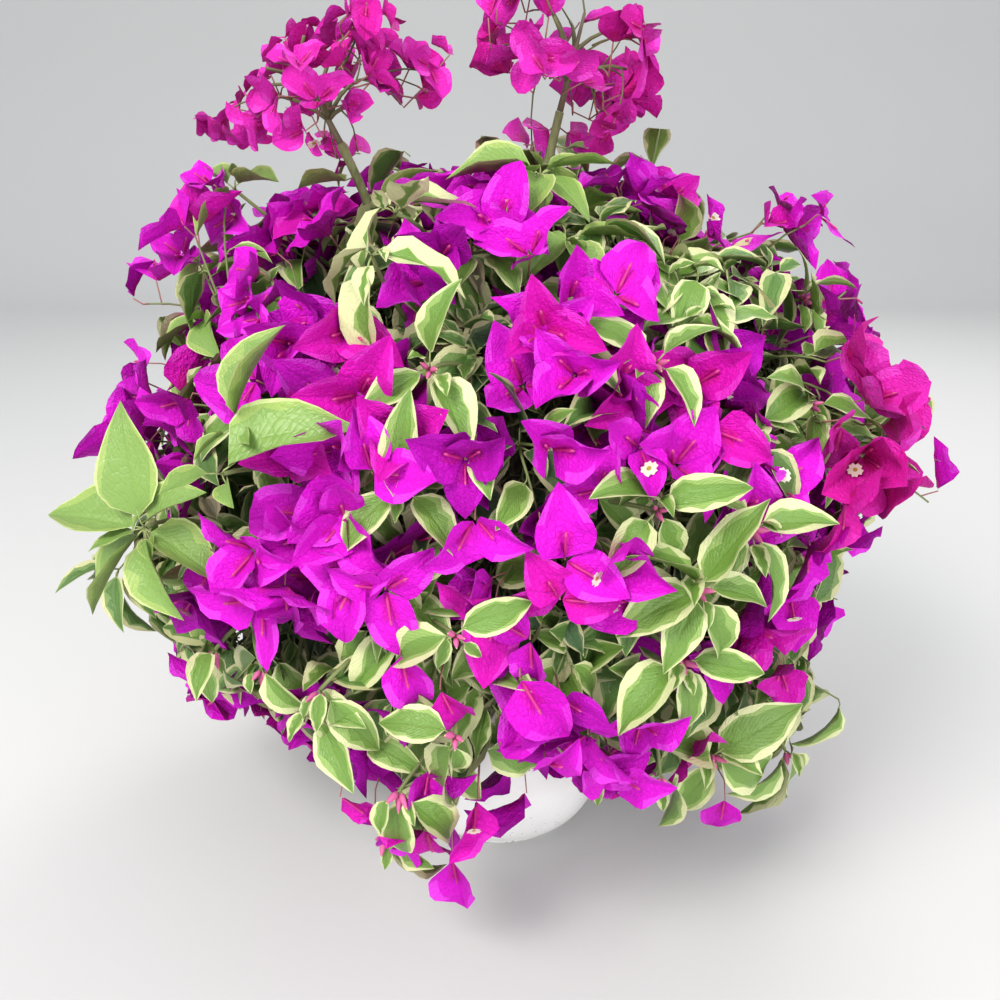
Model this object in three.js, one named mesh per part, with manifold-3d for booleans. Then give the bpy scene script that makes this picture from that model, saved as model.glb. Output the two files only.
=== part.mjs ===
// A bougainvillea bush in its white bowl pot.
// Millimetres, +Z up. The origin is the centre of the pot's flat underside,
// the front of the plant faces -Y, and bearings turn from the front towards +X.
import * as THREE from 'three';
import { mergeVertices } from 'three/addons/utils/BufferGeometryUtils.js';
import Module from 'manifold-3d';

const wasm = await Module();
wasm.setup();

// Clearance between pieces that touch.
const GAP = 0.3;

// Pot: a bowl on a low round foot, with a rolled lip.
const POT_HEIGHT = 140;
const POT_RIM_RADIUS = 90;
const POT_FOOT_RADIUS = 54;
const POT_FOOT_HEIGHT = 6;
const POT_FOOT_STEP = 2;
const POT_WALL = 3.2;
const POT_FLOOR = 5;
const POT_LIP_WIDTH = 4;
const POT_LIP_HEIGHT = 9;
const POT_LIP_ROUND = 2;
const POT_SIDES = 28;
const POT_BOWL_STEPS = 5;

// Soil: fills the bowl to a little below the rim.
const SOIL_TOP = 122;
const SOIL_SLACK = 0.5;
const SOIL_CROWNING = 1.5;
const SOIL_PAD_RADIUS = 26;

// Trunk: short, with a root flare, leaning a little.
const TRUNK_TOP = 222;
const TRUNK_LEAN = 9;
const TRUNK_LEAN_BEARING = 120;
const TRUNK_FOOT_RADIUS = 15.5;
const TRUNK_TIP_RADIUS = 9.5;
const TRUNK_FLARE = 6;
const TRUNK_FLARE_HEIGHT = 9;
const TRUNK_SIDES = 10;
const TRUNK_STEPS = 7;

// Crown: a dome with a hanging skirt, measured from its middle.
const CROWN_MIDDLE = 262;
const CROWN_HALF_WIDTH = 250;
const CROWN_HALF_DEPTH = 240;
const CROWN_RISE = 214;
const CROWN_DROP = 216;
const CROWN_SKIRT = 2.6;
const CROWN_LOWEST_ASPECT = -52;

// Lobes of the crown's plan: how deep they are, two counts of them, and a turn in radians.
const LOBE_DEPTH = 0.03;
const LOBES_EVEN = 4;
const LOBES_ODD = 3;
const LOBES_TURN = 3;

// Boughs stand in tiers. Each carries a leafy mass beside a blossoming one, split degrees
// to either side of it. Bearing and aspect are where a tier's first bough points, spring is
// the share of the trunk's height that it leaves from, and reach how far out it ends.
const TIERS = [
  {
    boughs: 5,
    bearing: 4,
    aspect: -17,
    split: 18,
    spring: 0.42,
    reach: 0.5,
    blossomTurn: 1,
  },
  {
    boughs: 5,
    bearing: 22,
    aspect: 24,
    split: 18,
    spring: 0.66,
    reach: 0.46,
    blossomTurn: -1,
  },
  {
    boughs: 2,
    bearing: 15,
    aspect: 60,
    split: 45,
    spring: 0.84,
    reach: 0.4,
    blossomTurn: 1,
  },
];
const BOUGH_ROOT_RADIUS = 4.8;
const BOUGH_TIP_RADIUS = 3.7;
const BOUGH_SIDES = 6;
const BOUGH_STEPS = 6;
const BOUGH_STAGGER = 0.045;
const BOUGH_HIGHEST_SPRING = 0.97;

// How a bough bends, as shares of its span: out, then up from the trunk, and in line at its tip.
const BOUGH_LEAVES_OUT = 0.3;
const BOUGH_LEAVES_UP = 0.28;
const BOUGH_ARRIVES = 0.34;

// Two tall canes rise through the crown and carry sprays of blossom above it.
// At is a spray's centre, half its half sizes, and lean the way that it points.
const SPRAYS = [
  {
    name: 'left',
    at: [-112, -30, 515],
    half: [84, 62, 56],
    lean: [-0.5, 0, 1],
    bearing: 285,
    rise: 48,
    spring: 0.9,
  },
  {
    name: 'right',
    at: [46, -24, 541],
    half: [66, 58, 68],
    lean: [0.25, 0, 1],
    bearing: 100,
    rise: 84,
    spring: 0.99,
  },
];
const CANE_ROOT_RADIUS = 4;
const CANE_TIP_RADIUS = 2.6;
const CANE_DEPTH_IN_SPRAY = 0.62;
const CANE_LEAVES = 0.3;
const CANE_ARRIVES = 0.35;
const CANE_STEPS = 8;

// Growth of a mass: one stem, twigs that reach for evenly spread targets.
const MASS_SITE = 0.86;
const TARGETS_ON_CROWN = 160;
const TARGETS_ON_SPRAY = 12;
const STEM_RADIUS = 2.3;
const STEM_TIP_RADIUS = 1.9;
const STEM_SIDES = 4;
const STEM_REACH = 0.66;
const STEM_REACH_IN_SPRAY = 0.2;
const STEM_BEND = 0.3;
const STEM_STEPS = 4;
const TWIG_RADIUS = 1.2;
const TWIG_TIP_RADIUS = 1.1;
const TWIG_STEPS = 2;
const TWIG_ENDS_AT = [0.64, 0.85];
const TWIG_ENDS_IN_SPRAY = [0.3, 0.55];
const SPRAY_LOWEST_ASPECT = -35;

// Twigs of their own for the crown's furthest tips, each a bearing, an aspect, the share of the
// way out where it ends and the share that its blades may reach; and the opening low at the
// front, where no twig hides the pot.
const FURTHEST_TWIGS = [
  [-78, -3, 0.92, 1.12],
  [86, 3, 0.86, 1.06],
  [97, -8, 0.8, 1],
  [75, 13, 0.84, 1.04],
  [8, -2, 0.82, 1],
];
const POT_WINDOW_BEARING = 8;
const POT_WINDOW_ASPECT = -46;
const POT_WINDOW_SPREAD = 10;
const GOLDEN_ANGLE = Math.PI * (3 - Math.sqrt(5));

// A twig leaves its stem at one of ten places, but not near the stem's foot, where the way is
// shortest. A turn past the easy angle in degrees makes the way count as longer.
const TWIG_PLACES = 10;
const TWIG_FIRST_PLACE = 3;
const TWIG_EASY_TURN = 45;
const TWIG_TURN_COST = 30;
const TWIG_ARCH = 0.16;
const TWIG_SAG = 0.1;
const TWIG_SAMPLES = 12;
const TWIG_FREE_START = 0.35;

// Seeds of the streams of numbers.
const TARGET_SEED = 41;
const MASS_SEED = 100;
const SPRAY_SEED = 900;
const SEED_STEP = 17;

// Whorls: blades round a twig's tip, each of eight faces, joined at their roots, on a twig
// with a side for each blade. Tilt is from the whorl's axis to the blade; fold is how far the
// margins rise beside the rib. Each blade keeps to its own wedge of the turn about the axis.
const LEAF_WHORL = {
  blades: 4,
  length: 68,
  width: 42,
  widest: 0.42,
  fold: 5,
  droop: 4,
  tilts: [60, 46, 32],
};
const BRACT_WHORL = {
  blades: 3,
  length: 53,
  width: 47,
  widest: 0.46,
  fold: 4,
  droop: -3,
  tilts: [54, 42, 30],
};
const WHORL_TOP = 1.6;
const WHORL_BOTTOM = 2.2;
const WHORL_NOTCH = 3.2;
const WHORL_PHASES = 8;
const BLADE_SIZES = [0.86, 1.1];
const BLADE_SECOND_TRIES = [[1, 0], [1, 14], [0.82, 0], [0.82, 16], [0.7, 30]];
const BLADE_ROWS = 4;
const BLADE_APART = 3.5;
const BLADE_ROOT_ZONE = 10;
const BLADE_LEAST_TILT = 24;
const BLADE_WEDGE = 0.93;
const FACES_OUTWARD = 0.65;

// Space that each mass keeps.
const CELL_MARGIN = 0.8;
const LIMB_CLEARANCE = 3;
const LIMB_SAMPLES_A_STEP = 4;
const POT_CLEARANCE = 5;
const GROUND_CLEARANCE = 14;

const DEG = Math.PI / 180;
const UP = new THREE.Vector3(0, 0, 1);
const CROWN_CENTRE = new THREE.Vector3(0, 0, CROWN_MIDDLE);

const BARK = new THREE.MeshStandardMaterial({ color: 0x7a6650, roughness: 0.9, metalness: 0 });
const GREEN_BARK = new THREE.MeshStandardMaterial({ color: 0x6f7a3c, roughness: 0.7, metalness: 0 });
const LEAF_GREEN = new THREE.MeshStandardMaterial({ color: 0x6f9a3c, roughness: 0.6, metalness: 0 });
const MAGENTA = new THREE.MeshStandardMaterial({ color: 0xc40ac8, roughness: 0.65, metalness: 0 });
const POT_WHITE = new THREE.MeshStandardMaterial({ color: 0xf1efe8, roughness: 0.35, metalness: 0 });
const SOIL_BROWN = new THREE.MeshStandardMaterial({ color: 0x3d2c20, roughness: 1, metalness: 0 });

const plant = new THREE.Group();

/** A repeatable stream of numbers between 0 and 1. */
function seeded(seed) {
  let state = seed >>> 0;
  return () => {
    state = (state + 0x6d2b79f5) >>> 0;
    let mixed = state;
    mixed = Math.imul(mixed ^ (mixed >>> 15), mixed | 1);
    mixed ^= mixed + Math.imul(mixed ^ (mixed >>> 7), mixed | 61);
    return ((mixed ^ (mixed >>> 14)) >>> 0) / 4294967296;
  };
}

/** The number at a share of the way from the least to the most of a range. */
function between([least, most], share) {
  return least + (most - least) * share;
}

/** The unit vector at a bearing from the front and an angle above the level, in degrees. */
function aim(bearing, aspect) {
  const b = bearing * DEG;
  const a = aspect * DEG;
  return new THREE.Vector3(Math.sin(b) * Math.cos(a), -Math.cos(b) * Math.cos(a), Math.sin(a));
}

/** How far out a point of the crown is: 0 at its centre, 1 on its outline. */
function crownShare(point) {
  const v = point.clone().sub(CROWN_CENTRE);
  const level = Math.hypot(v.x / CROWN_HALF_WIDTH, v.y / CROWN_HALF_DEPTH);
  const square = v.z < 0 ? CROWN_SKIRT : 2;
  const upright = Math.abs(v.z) / (v.z < 0 ? CROWN_DROP : CROWN_RISE);
  const turn = Math.atan2(v.x, -v.y);
  const lobes = Math.cos(LOBES_EVEN * turn) + Math.sin(LOBES_ODD * turn + LOBES_TURN);
  const swell = 1 + LOBE_DEPTH * lobes * (level / Math.hypot(level, upright));
  return (level ** square + upright ** square) ** (1 / square) / swell;
}

/** The point of the crown in a direction from its centre, at a share of the way to its outline. */
function crownPoint(direction, share) {
  const reach = 1 / crownShare(CROWN_CENTRE.clone().add(direction));
  return CROWN_CENTRE.clone().addScaledVector(direction, reach * share);
}

/** A function that gives how far out a point of a spray is. */
function sprayShareOf(spray) {
  const [x, y, z] = spray.at;
  const [a, b, c] = spray.half;
  return (p) => Math.hypot((p.x - x) / a, (p.y - y) / b, (p.z - z) / c);
}

/** Directions spread evenly by the golden angle, down to the lowest angle in degrees. */
function evenDirections(count, lowest) {
  const bottom = Math.sin(lowest * DEG);
  return Array.from({ length: count }, (_, i) => {
    const height = 1 - ((i + 0.5) / count) * (1 - bottom);
    const level = Math.sqrt(1 - height * height);
    const turn = i * GOLDEN_ANGLE;
    return new THREE.Vector3(Math.sin(turn) * level, -Math.cos(turn) * level, height);
  });
}

/** The volume inside a closed mesh, negative where its faces point inwards. */
function signedVolume(position, index) {
  const [a, b, c] = [new THREE.Vector3(), new THREE.Vector3(), new THREE.Vector3()];
  let six = 0;
  for (let i = 0; i < index.length; i += 3) {
    a.fromArray(position, index[i] * 3);
    b.fromArray(position, index[i + 1] * 3);
    c.fromArray(position, index[i + 2] * 3);
    six += a.dot(b.cross(c));
  }
  return six / 6;
}

/** A solid from a closed geometry, with shared corners merged and faces pointing out. */
function solidFrom(geometry) {
  const bare = geometry.clone();
  bare.deleteAttribute('normal');
  bare.deleteAttribute('uv');
  const merged = mergeVertices(bare, 1e-4);
  const vertProperties = new Float32Array(merged.attributes.position.array);
  const corners = Array.from(merged.index.array);
  const triVerts = [];
  for (let i = 0; i < corners.length; i += 3) {
    const [a, b, c] = corners.slice(i, i + 3);
    if (a !== b && b !== c && a !== c) triVerts.push(a, b, c);
  }
  if (signedVolume(vertProperties, triVerts) < 0) triVerts.reverse();
  return new wasm.Manifold(new wasm.Mesh({
    numProp: 3,
    vertProperties,
    triVerts: new Uint32Array(triVerts),
  }));
}

/** All solids joined, in pairs, then pairs of pairs. */
function fuse(solids) {
  let layer = solids;
  while (layer.length > 1) {
    const next = [];
    for (let i = 0; i < layer.length; i += 2) {
      next.push(i + 1 < layer.length ? layer[i].add(layer[i + 1]) : layer[i]);
    }
    layer = next;
  }
  return layer[0];
}

/** The geometry of a solid's largest shell: sealed hollows are filled and loose scraps dropped. */
function mainBody(solid) {
  const { numProp, vertProperties, triVerts } = solid.getMesh();
  const leader = Array.from({ length: vertProperties.length / numProp }, (_, i) => i);
  const find = (i) => {
    while (leader[i] !== i) {
      leader[i] = leader[leader[i]];
      i = leader[i];
    }
    return i;
  };
  for (let i = 0; i < triVerts.length; i += 3) {
    leader[find(triVerts[i])] = find(triVerts[i + 1]);
    leader[find(triVerts[i + 1])] = find(triVerts[i + 2]);
  }
  const shells = new Map();
  for (let i = 0; i < triVerts.length; i += 3) {
    const shell = find(triVerts[i]);
    if (!shells.has(shell)) shells.set(shell, []);
    shells.get(shell).push(triVerts[i], triVerts[i + 1], triVerts[i + 2]);
  }
  const largest = [...shells.values()].sort(
    (p, q) => signedVolume(vertProperties, q) - signedVolume(vertProperties, p),
  )[0];
  const geometry = new THREE.BufferGeometry();
  geometry.setAttribute('position', new THREE.BufferAttribute(new Float32Array(vertProperties), 3));
  geometry.setIndex(largest);
  return mergeVertices(geometry.toNonIndexed(), 1e-5);
}

/** Adds a named piece to the plant. */
function addPiece(name, geometry, material) {
  geometry.computeVertexNormals();
  const mesh = new THREE.Mesh(geometry, material);
  mesh.name = name;
  plant.add(mesh);
}

/** A limb along a curve: a lathed taper whose rings are laid square to the curve. */
function limbGeometry(curve, radiusAt, sides, steps) {
  const profile = [new THREE.Vector2(0, 0)];
  for (let i = 0; i <= steps; i += 1) profile.push(new THREE.Vector2(radiusAt(i / steps), i));
  profile.push(new THREE.Vector2(0, steps));
  const geometry = new THREE.LatheGeometry(profile, sides);
  const frames = curve.computeFrenetFrames(steps, false);
  const position = geometry.attributes.position;
  for (let i = 0; i < position.count; i += 1) {
    const ring = Math.round(position.getY(i));
    const point = curve.getPointAt(ring / steps);
    point.addScaledVector(frames.normals[ring], position.getX(i));
    point.addScaledVector(frames.binormals[ring], position.getZ(i));
    position.setXYZ(i, point.x, point.y, point.z);
  }
  return geometry;
}

/** A straight taper between two radii. */
function taper(root, tip) {
  return (t) => root + (tip - root) * t;
}

/** The corners of one blade of a whorl, from its root point along a direction. */
function bladeCorners(root, along, face, shape) {
  const side = face.clone().cross(along).normalize();
  const upper = along.clone().cross(side).normalize();
  const put = (forward, across, lift) => root.clone()
    .addScaledVector(along, forward)
    .addScaledVector(side, across)
    .addScaledVector(upper, lift);
  const widest = shape.length * shape.widest;
  return {
    left: put(widest, shape.width / 2, shape.fold - shape.droop * shape.widest),
    tip: put(shape.length, 0, -shape.droop),
    right: put(widest, -shape.width / 2, shape.fold - shape.droop * shape.widest),
  };
}

/**
 * A twig ending in a whorl: a lathed shape whose rim spreads into blades, four rim corners to
 * a blade, and whose rings follow the twig back to its root.
 */
function shootGeometry(twig, axis, phase, blades) {
  const sides = blades.length * 4;
  const lastRing = 2 + TWIG_STEPS;
  const profile = [new THREE.Vector2(0, 0)];
  for (let row = 1; row <= lastRing; row += 1) profile.push(new THREE.Vector2(1, row));
  profile.push(new THREE.Vector2(0, lastRing + 1));
  const geometry = new THREE.LatheGeometry(profile, sides);
  const tip = twig.getPointAt(1);
  const rim = blades.flatMap(({ notch, stub, corners }) => (
    corners ? [notch, corners.right, corners.tip, corners.left] : [notch, stub, stub, stub]));
  let normal = square(axis, phase);
  const ringAt = (centre, along, radius) => blades.map((_, i) => centre.clone().addScaledVector(
    normal.clone().applyAxisAngle(along, (i * 2 * Math.PI) / blades.length),
    radius,
  ));
  const below = tip.clone().addScaledVector(axis, -WHORL_BOTTOM);
  const rings = { 2: ringAt(below, axis, TWIG_TIP_RADIUS) };
  for (let row = 3; row <= lastRing; row += 1) {
    const share = (lastRing - row) / TWIG_STEPS;
    const tangent = twig.getTangentAt(share);
    normal = normal.clone().addScaledVector(tangent, -normal.dot(tangent)).normalize();
    const radius = taper(TWIG_RADIUS, TWIG_TIP_RADIUS)(share);
    rings[row] = ringAt(twig.getPointAt(share), tangent, radius);
  }
  const position = geometry.attributes.position;
  for (let i = 0; i < position.count; i += 1) {
    const row = Math.round(position.getY(i));
    const turn = Math.atan2(position.getX(i), position.getZ(i)) / (2 * Math.PI);
    const spot = (Math.round(turn * sides) + sides) % sides;
    let corner = twig.getPointAt(0);
    if (row === 0) corner = tip.clone().addScaledVector(axis, WHORL_TOP);
    else if (row === 1) corner = rim[spot];
    else if (row <= lastRing) corner = rings[row][Math.floor(spot / 4)];
    position.setXYZ(i, corner.x, corner.y, corner.z);
  }
  return geometry;
}

/** Points over a blade, close enough to find what it would touch. */
function bladeSamples(root, corners) {
  const rows = BLADE_ROWS;
  const samples = [];
  for (const margin of [corners.left, corners.right]) {
    for (let i = 0; i <= rows; i += 1) {
      for (let j = 0; j <= rows - i; j += 1) {
        const point = root.clone().multiplyScalar((rows - i - j) / rows);
        point.addScaledVector(margin, i / rows).addScaledVector(corners.tip, j / rows);
        samples.push(point);
      }
    }
  }
  return samples;
}

// Pot and soil.

/** The bowl's radius and height at a share of the way up its wall, drawn in by a wall. */
function bowlPoint(share, drawIn, floor) {
  const start = POT_FOOT_RADIUS + POT_FOOT_STEP;
  const turn = share * Math.PI / 2;
  const radius = start + (POT_RIM_RADIUS - start) * Math.sin(turn) - drawIn;
  const foot = POT_FOOT_HEIGHT + floor;
  return new THREE.Vector2(radius, foot + (POT_HEIGHT - foot) * (1 - Math.cos(turn)));
}

/** The outer radius of the pot at a height, at its widest where the lip is near. */
function potRadiusAt(height) {
  const share = Math.acos(1 - THREE.MathUtils.clamp(
    (height - POT_FOOT_HEIGHT) / (POT_HEIGHT - POT_FOOT_HEIGHT), 0, 1,
  )) / (Math.PI / 2);
  const lip = height > POT_HEIGHT - 2 * POT_LIP_HEIGHT ? POT_LIP_WIDTH : 0;
  return bowlPoint(share, 0, 0).x + lip;
}

/** A profile of radius and height, turned round the upright axis. */
function uprightLathe(profile) {
  return new THREE.LatheGeometry(profile, POT_SIDES).rotateX(Math.PI / 2);
}

function buildPot() {
  const profile = [
    new THREE.Vector2(0, 0),
    new THREE.Vector2(POT_FOOT_RADIUS, 0),
    new THREE.Vector2(POT_FOOT_RADIUS, POT_FOOT_HEIGHT),
  ];
  const lipStart = POT_HEIGHT - POT_LIP_HEIGHT;
  for (let i = 0; i <= POT_BOWL_STEPS; i += 1) {
    const point = bowlPoint(i / POT_BOWL_STEPS, 0, 0);
    if (point.y < lipStart) profile.push(point);
  }
  const lip = POT_RIM_RADIUS + POT_LIP_WIDTH;
  profile.push(new THREE.Vector2(POT_RIM_RADIUS, lipStart));
  profile.push(new THREE.Vector2(lip - POT_LIP_ROUND / 2, lipStart));
  profile.push(new THREE.Vector2(lip, lipStart + POT_LIP_ROUND));
  profile.push(new THREE.Vector2(lip, POT_HEIGHT - POT_LIP_ROUND));
  profile.push(new THREE.Vector2(lip - POT_LIP_ROUND, POT_HEIGHT));
  profile.push(new THREE.Vector2(POT_RIM_RADIUS - POT_WALL + POT_LIP_ROUND / 2, POT_HEIGHT));
  for (let i = POT_BOWL_STEPS; i >= 0; i -= 1) {
    const point = bowlPoint(i / POT_BOWL_STEPS, POT_WALL, POT_FLOOR);
    if (point.y < POT_HEIGHT - POT_LIP_ROUND / 2) profile.push(point);
  }
  profile.push(new THREE.Vector2(0, POT_FOOT_HEIGHT + POT_FLOOR));
  addPiece('pot', mainBody(solidFrom(uprightLathe(profile))), POT_WHITE);
}

function buildSoil() {
  const foot = POT_FOOT_HEIGHT + POT_FLOOR;
  const profile = [new THREE.Vector2(0, foot + GAP)];
  for (let i = 0; i <= POT_BOWL_STEPS; i += 1) {
    const point = bowlPoint(i / POT_BOWL_STEPS, POT_WALL + SOIL_SLACK, POT_FLOOR);
    point.y += GAP;
    if (point.y < SOIL_TOP - SOIL_CROWNING) profile.push(point);
  }
  const last = profile[profile.length - 1];
  profile.push(new THREE.Vector2(last.x, SOIL_TOP - SOIL_CROWNING));
  profile.push(new THREE.Vector2(SOIL_PAD_RADIUS, SOIL_TOP));
  profile.push(new THREE.Vector2(0, SOIL_TOP));
  addPiece('soil', mainBody(solidFrom(uprightLathe(profile))), SOIL_BROWN);
}

// Trunk and limbs.

const trunkFoot = new THREE.Vector3(0, 0, SOIL_TOP + GAP);
const trunkTip = aim(TRUNK_LEAN_BEARING, 0).multiplyScalar(TRUNK_LEAN).setZ(TRUNK_TOP);
const trunkCurve = new THREE.QuadraticBezierCurve3(
  trunkFoot,
  new THREE.Vector3(0, 0, (SOIL_TOP + TRUNK_TOP) / 2),
  trunkTip,
);

/** The trunk's radius at a share of its height, swollen by an amount. */
function trunkRadius(share, swollen = 0) {
  const height = share * (TRUNK_TOP - SOIL_TOP);
  const flare = TRUNK_FLARE * Math.exp(-height / TRUNK_FLARE_HEIGHT);
  return taper(TRUNK_FOOT_RADIUS, TRUNK_TIP_RADIUS)(share) + flare + swollen;
}

/** The trunk as a solid, or the same swollen by the gap that its boughs keep. */
function trunkSolid(swollen) {
  const geometry = limbGeometry(trunkCurve, (t) => trunkRadius(t, swollen), TRUNK_SIDES, TRUNK_STEPS);
  return solidFrom(geometry);
}

const limbs = [];
const masses = [];

/** A limb from inside the trunk, cut clear of it, and noted for its clearance. */
function growLimb(name, points, root, tip, steps, material) {
  const curve = new THREE.CubicBezierCurve3(...points);
  const radiusAt = taper(root, tip);
  const whole = solidFrom(limbGeometry(curve, radiusAt, BOUGH_SIDES, steps));
  const above = solidFrom(limbGeometry(
    new THREE.LineCurve3(trunkTip, trunkTip.clone().addScaledVector(UP, GAP)),
    () => trunkRadius(1, GAP),
    TRUNK_SIDES,
    1,
  ));
  const socket = trunkSolid(GAP).add(above);
  addPiece(name, mainBody(whole.subtract(socket)), material);
  const samples = LIMB_SAMPLES_A_STEP * steps;
  for (let i = 0; i <= samples; i += 1) {
    const t = i / samples;
    limbs.push({ at: curve.getPointAt(t), radius: radiusAt(t) });
  }
  return curve;
}

/** The site that a mass grows round, and the direction it lies in. */
function siteOf(bearing, aspect) {
  const direction = aim(bearing, aspect);
  return { direction, site: crownPoint(direction, MASS_SITE) };
}

function growBoughs() {
  let number = 0;
  for (const tier of TIERS) {
    for (let i = 0; i < tier.boughs; i += 1) {
      number += 1;
      const label = String(number).padStart(2, '0');
      const bearing = tier.bearing + (i * 360) / tier.boughs;
      const direction = aim(bearing, tier.aspect);
      const spring = tier.spring - BOUGH_STAGGER * (i % 3);
      const from = trunkCurve.getPointAt(Math.min(spring, BOUGH_HIGHEST_SPRING));
      const to = crownPoint(direction, tier.reach);
      const span = from.distanceTo(to);
      const leave = from.clone()
        .addScaledVector(aim(bearing, 0), span * BOUGH_LEAVES_OUT)
        .addScaledVector(UP, span * BOUGH_LEAVES_UP);
      const arrive = to.clone().addScaledVector(direction, -span * BOUGH_ARRIVES);
      const curve = growLimb(
        `bough_${label}`,
        [from, leave, arrive, to],
        BOUGH_ROOT_RADIUS,
        BOUGH_TIP_RADIUS,
        BOUGH_STEPS,
        BARK,
      );
      const heading = curve.getTangentAt(1);
      const across = heading.clone().cross(UP).normalize();
      for (const turn of [-1, 1]) {
        const kind = turn === tier.blossomTurn ? 'blossom' : 'leaf';
        const place = siteOf(bearing + (turn * tier.split), tier.aspect);
        const towards = Math.sign(across.dot(place.site.clone().sub(to))) || 1;
        const start = to.clone()
          .addScaledVector(heading, GAP)
          .addScaledVector(across, towards * (STEM_RADIUS + CELL_MARGIN));
        masses.push({
          name: `${kind}_mass_${label}`,
          kind,
          ...place,
          start,
          heading,
          end: crownPoint(place.direction, STEM_REACH),
          share: crownShare,
          outwardAt: (point) => point.clone().sub(CROWN_CENTRE).normalize(),
          seed: MASS_SEED + masses.length * SEED_STEP,
        });
      }
    }
  }
}

function growCanes() {
  for (const spray of SPRAYS) {
    const centre = new THREE.Vector3(...spray.at);
    const lean = new THREE.Vector3(...spray.lean).normalize();
    const share = sprayShareOf(spray);
    const reach = 1 / share(centre.clone().add(lean));
    const to = centre.clone().addScaledVector(lean, -reach * CANE_DEPTH_IN_SPRAY);
    const from = trunkCurve.getPointAt(spray.spring);
    const span = from.distanceTo(to);
    const leave = from.clone().addScaledVector(aim(spray.bearing, spray.rise), span * CANE_LEAVES);
    const arrive = to.clone().addScaledVector(lean, -span * CANE_ARRIVES);
    const curve = growLimb(
      `cane_${spray.name}`,
      [from, leave, arrive, to],
      CANE_ROOT_RADIUS,
      CANE_TIP_RADIUS,
      CANE_STEPS,
      GREEN_BARK,
    );
    const heading = curve.getTangentAt(1);
    masses.push({
      name: `spray_mass_${spray.name}`,
      kind: 'blossom',
      spray,
      direction: lean,
      site: centre,
      start: to.clone().addScaledVector(heading, GAP),
      heading,
      end: centre.clone().addScaledVector(lean, reach * STEM_REACH_IN_SPRAY),
      share,
      outwardAt: (point) => point.clone().sub(to).normalize(),
      seed: SPRAY_SEED + masses.length * SEED_STEP,
    });
  }
}

// Room for growth.

/** Whether a point is nearer to a mass's own site than to any other, by a margin. */
function inOwnCell(mass, point) {
  return masses.every((other) => {
    if (other === mass) return true;
    const away = other.site.clone().sub(mass.site);
    const middle = mass.site.clone().addScaledVector(away, 0.5);
    return point.clone().sub(middle).dot(away.normalize()) <= -CELL_MARGIN;
  });
}

/** Whether a point is clear of the pot, the floor, the trunk and every limb, by a clearance. */
function isClear(point, clearance) {
  if (point.z < GROUND_CLEARANCE) return false;
  const level = Math.hypot(point.x, point.y);
  if (point.z < POT_HEIGHT + POT_CLEARANCE && level < potRadiusAt(point.z) + POT_CLEARANCE) return false;
  if (point.z < TRUNK_TOP + clearance && level < TRUNK_FOOT_RADIUS + TRUNK_LEAN + clearance) return false;
  return limbs.every((limb) => limb.at.distanceTo(point) > limb.radius + clearance);
}

/** Samples of a blade that keeps to its mass's space, touches no limb and crosses no other; or null. */
function bladeRoom(mass, root, corners, outline) {
  const points = Object.values(corners);
  if (!points.every((p) => mass.share(p) <= outline && inOwnCell(mass, p))) return null;
  const samples = bladeSamples(root, corners);
  if (!samples.every((p) => isClear(p, LIMB_CLEARANCE))) return null;
  const open = samples.filter((p) => p.distanceTo(root) > BLADE_ROOT_ZONE);
  const crosses = mass.blades.some((other) => (
    other.root.distanceTo(root) < 2 * LEAF_WHORL.length
    && other.open.some((q) => open.some((p) => p.distanceTo(q) < BLADE_APART))));
  return crosses ? null : { root, open };
}

/** Whether a twig along a curve keeps to the mass's space and, past its start, clear of limbs. */
function twigFits(mass, curve) {
  for (let i = 0; i <= TWIG_SAMPLES; i += 1) {
    const t = i / TWIG_SAMPLES;
    const point = curve.getPointAt(t);
    if (!inOwnCell(mass, point)) return false;
    if (t > TWIG_FREE_START && !isClear(point, LIMB_CLEARANCE + TWIG_RADIUS)) return false;
  }
  return true;
}

/** A vector square to another, turned about it by an angle in radians. */
function square(axis, turn) {
  const seed = Math.abs(axis.z) < 0.9 ? UP : new THREE.Vector3(1, 0, 0);
  return seed.clone().cross(axis).normalize().applyAxisAngle(axis, turn);
}

/** A whorl's blade at a scale, no wider than its wedge of the turn lets it be at a lean. */
function sizedBlade(shape, scale, lean) {
  const length = shape.length * scale;
  const widest = length * shape.widest;
  const lift = shape.fold - shape.droop * shape.widest;
  const outward = widest * Math.sin(lean) - lift * Math.cos(lean);
  const room = 2 * BLADE_WEDGE * outward * Math.tan(Math.PI / shape.blades);
  return { ...shape, length, width: Math.min(shape.width * scale, room) };
}

/** A whorl's blades for one way of standing it on a twig; those without room are left out. */
function standWhorl(mass, root, axis, shape, phase, tilt, sizes, outline) {
  const pitch = (2 * Math.PI) / shape.blades;
  return sizes.map((size, i) => {
    const outward = square(axis, phase + i * pitch);
    const blade = {
      notch: root.clone().addScaledVector(square(axis, phase + (i - 0.5) * pitch), WHORL_NOTCH),
      stub: root.clone().addScaledVector(outward, WHORL_NOTCH),
      corners: null,
    };
    for (const [shrink, lift] of BLADE_SECOND_TRIES) {
      const lean = Math.max(tilt - lift, BLADE_LEAST_TILT) * DEG;
      const along = axis.clone().multiplyScalar(Math.cos(lean)).addScaledVector(outward, Math.sin(lean));
      const face = axis.clone().multiplyScalar(Math.sin(lean)).addScaledVector(outward, -Math.cos(lean));
      const corners = bladeCorners(root, along, face, sizedBlade(shape, size * shrink, lean));
      blade.room = bladeRoom(mass, root, corners, outline);
      if (blade.room) {
        blade.corners = corners;
        break;
      }
    }
    return blade;
  });
}

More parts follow.
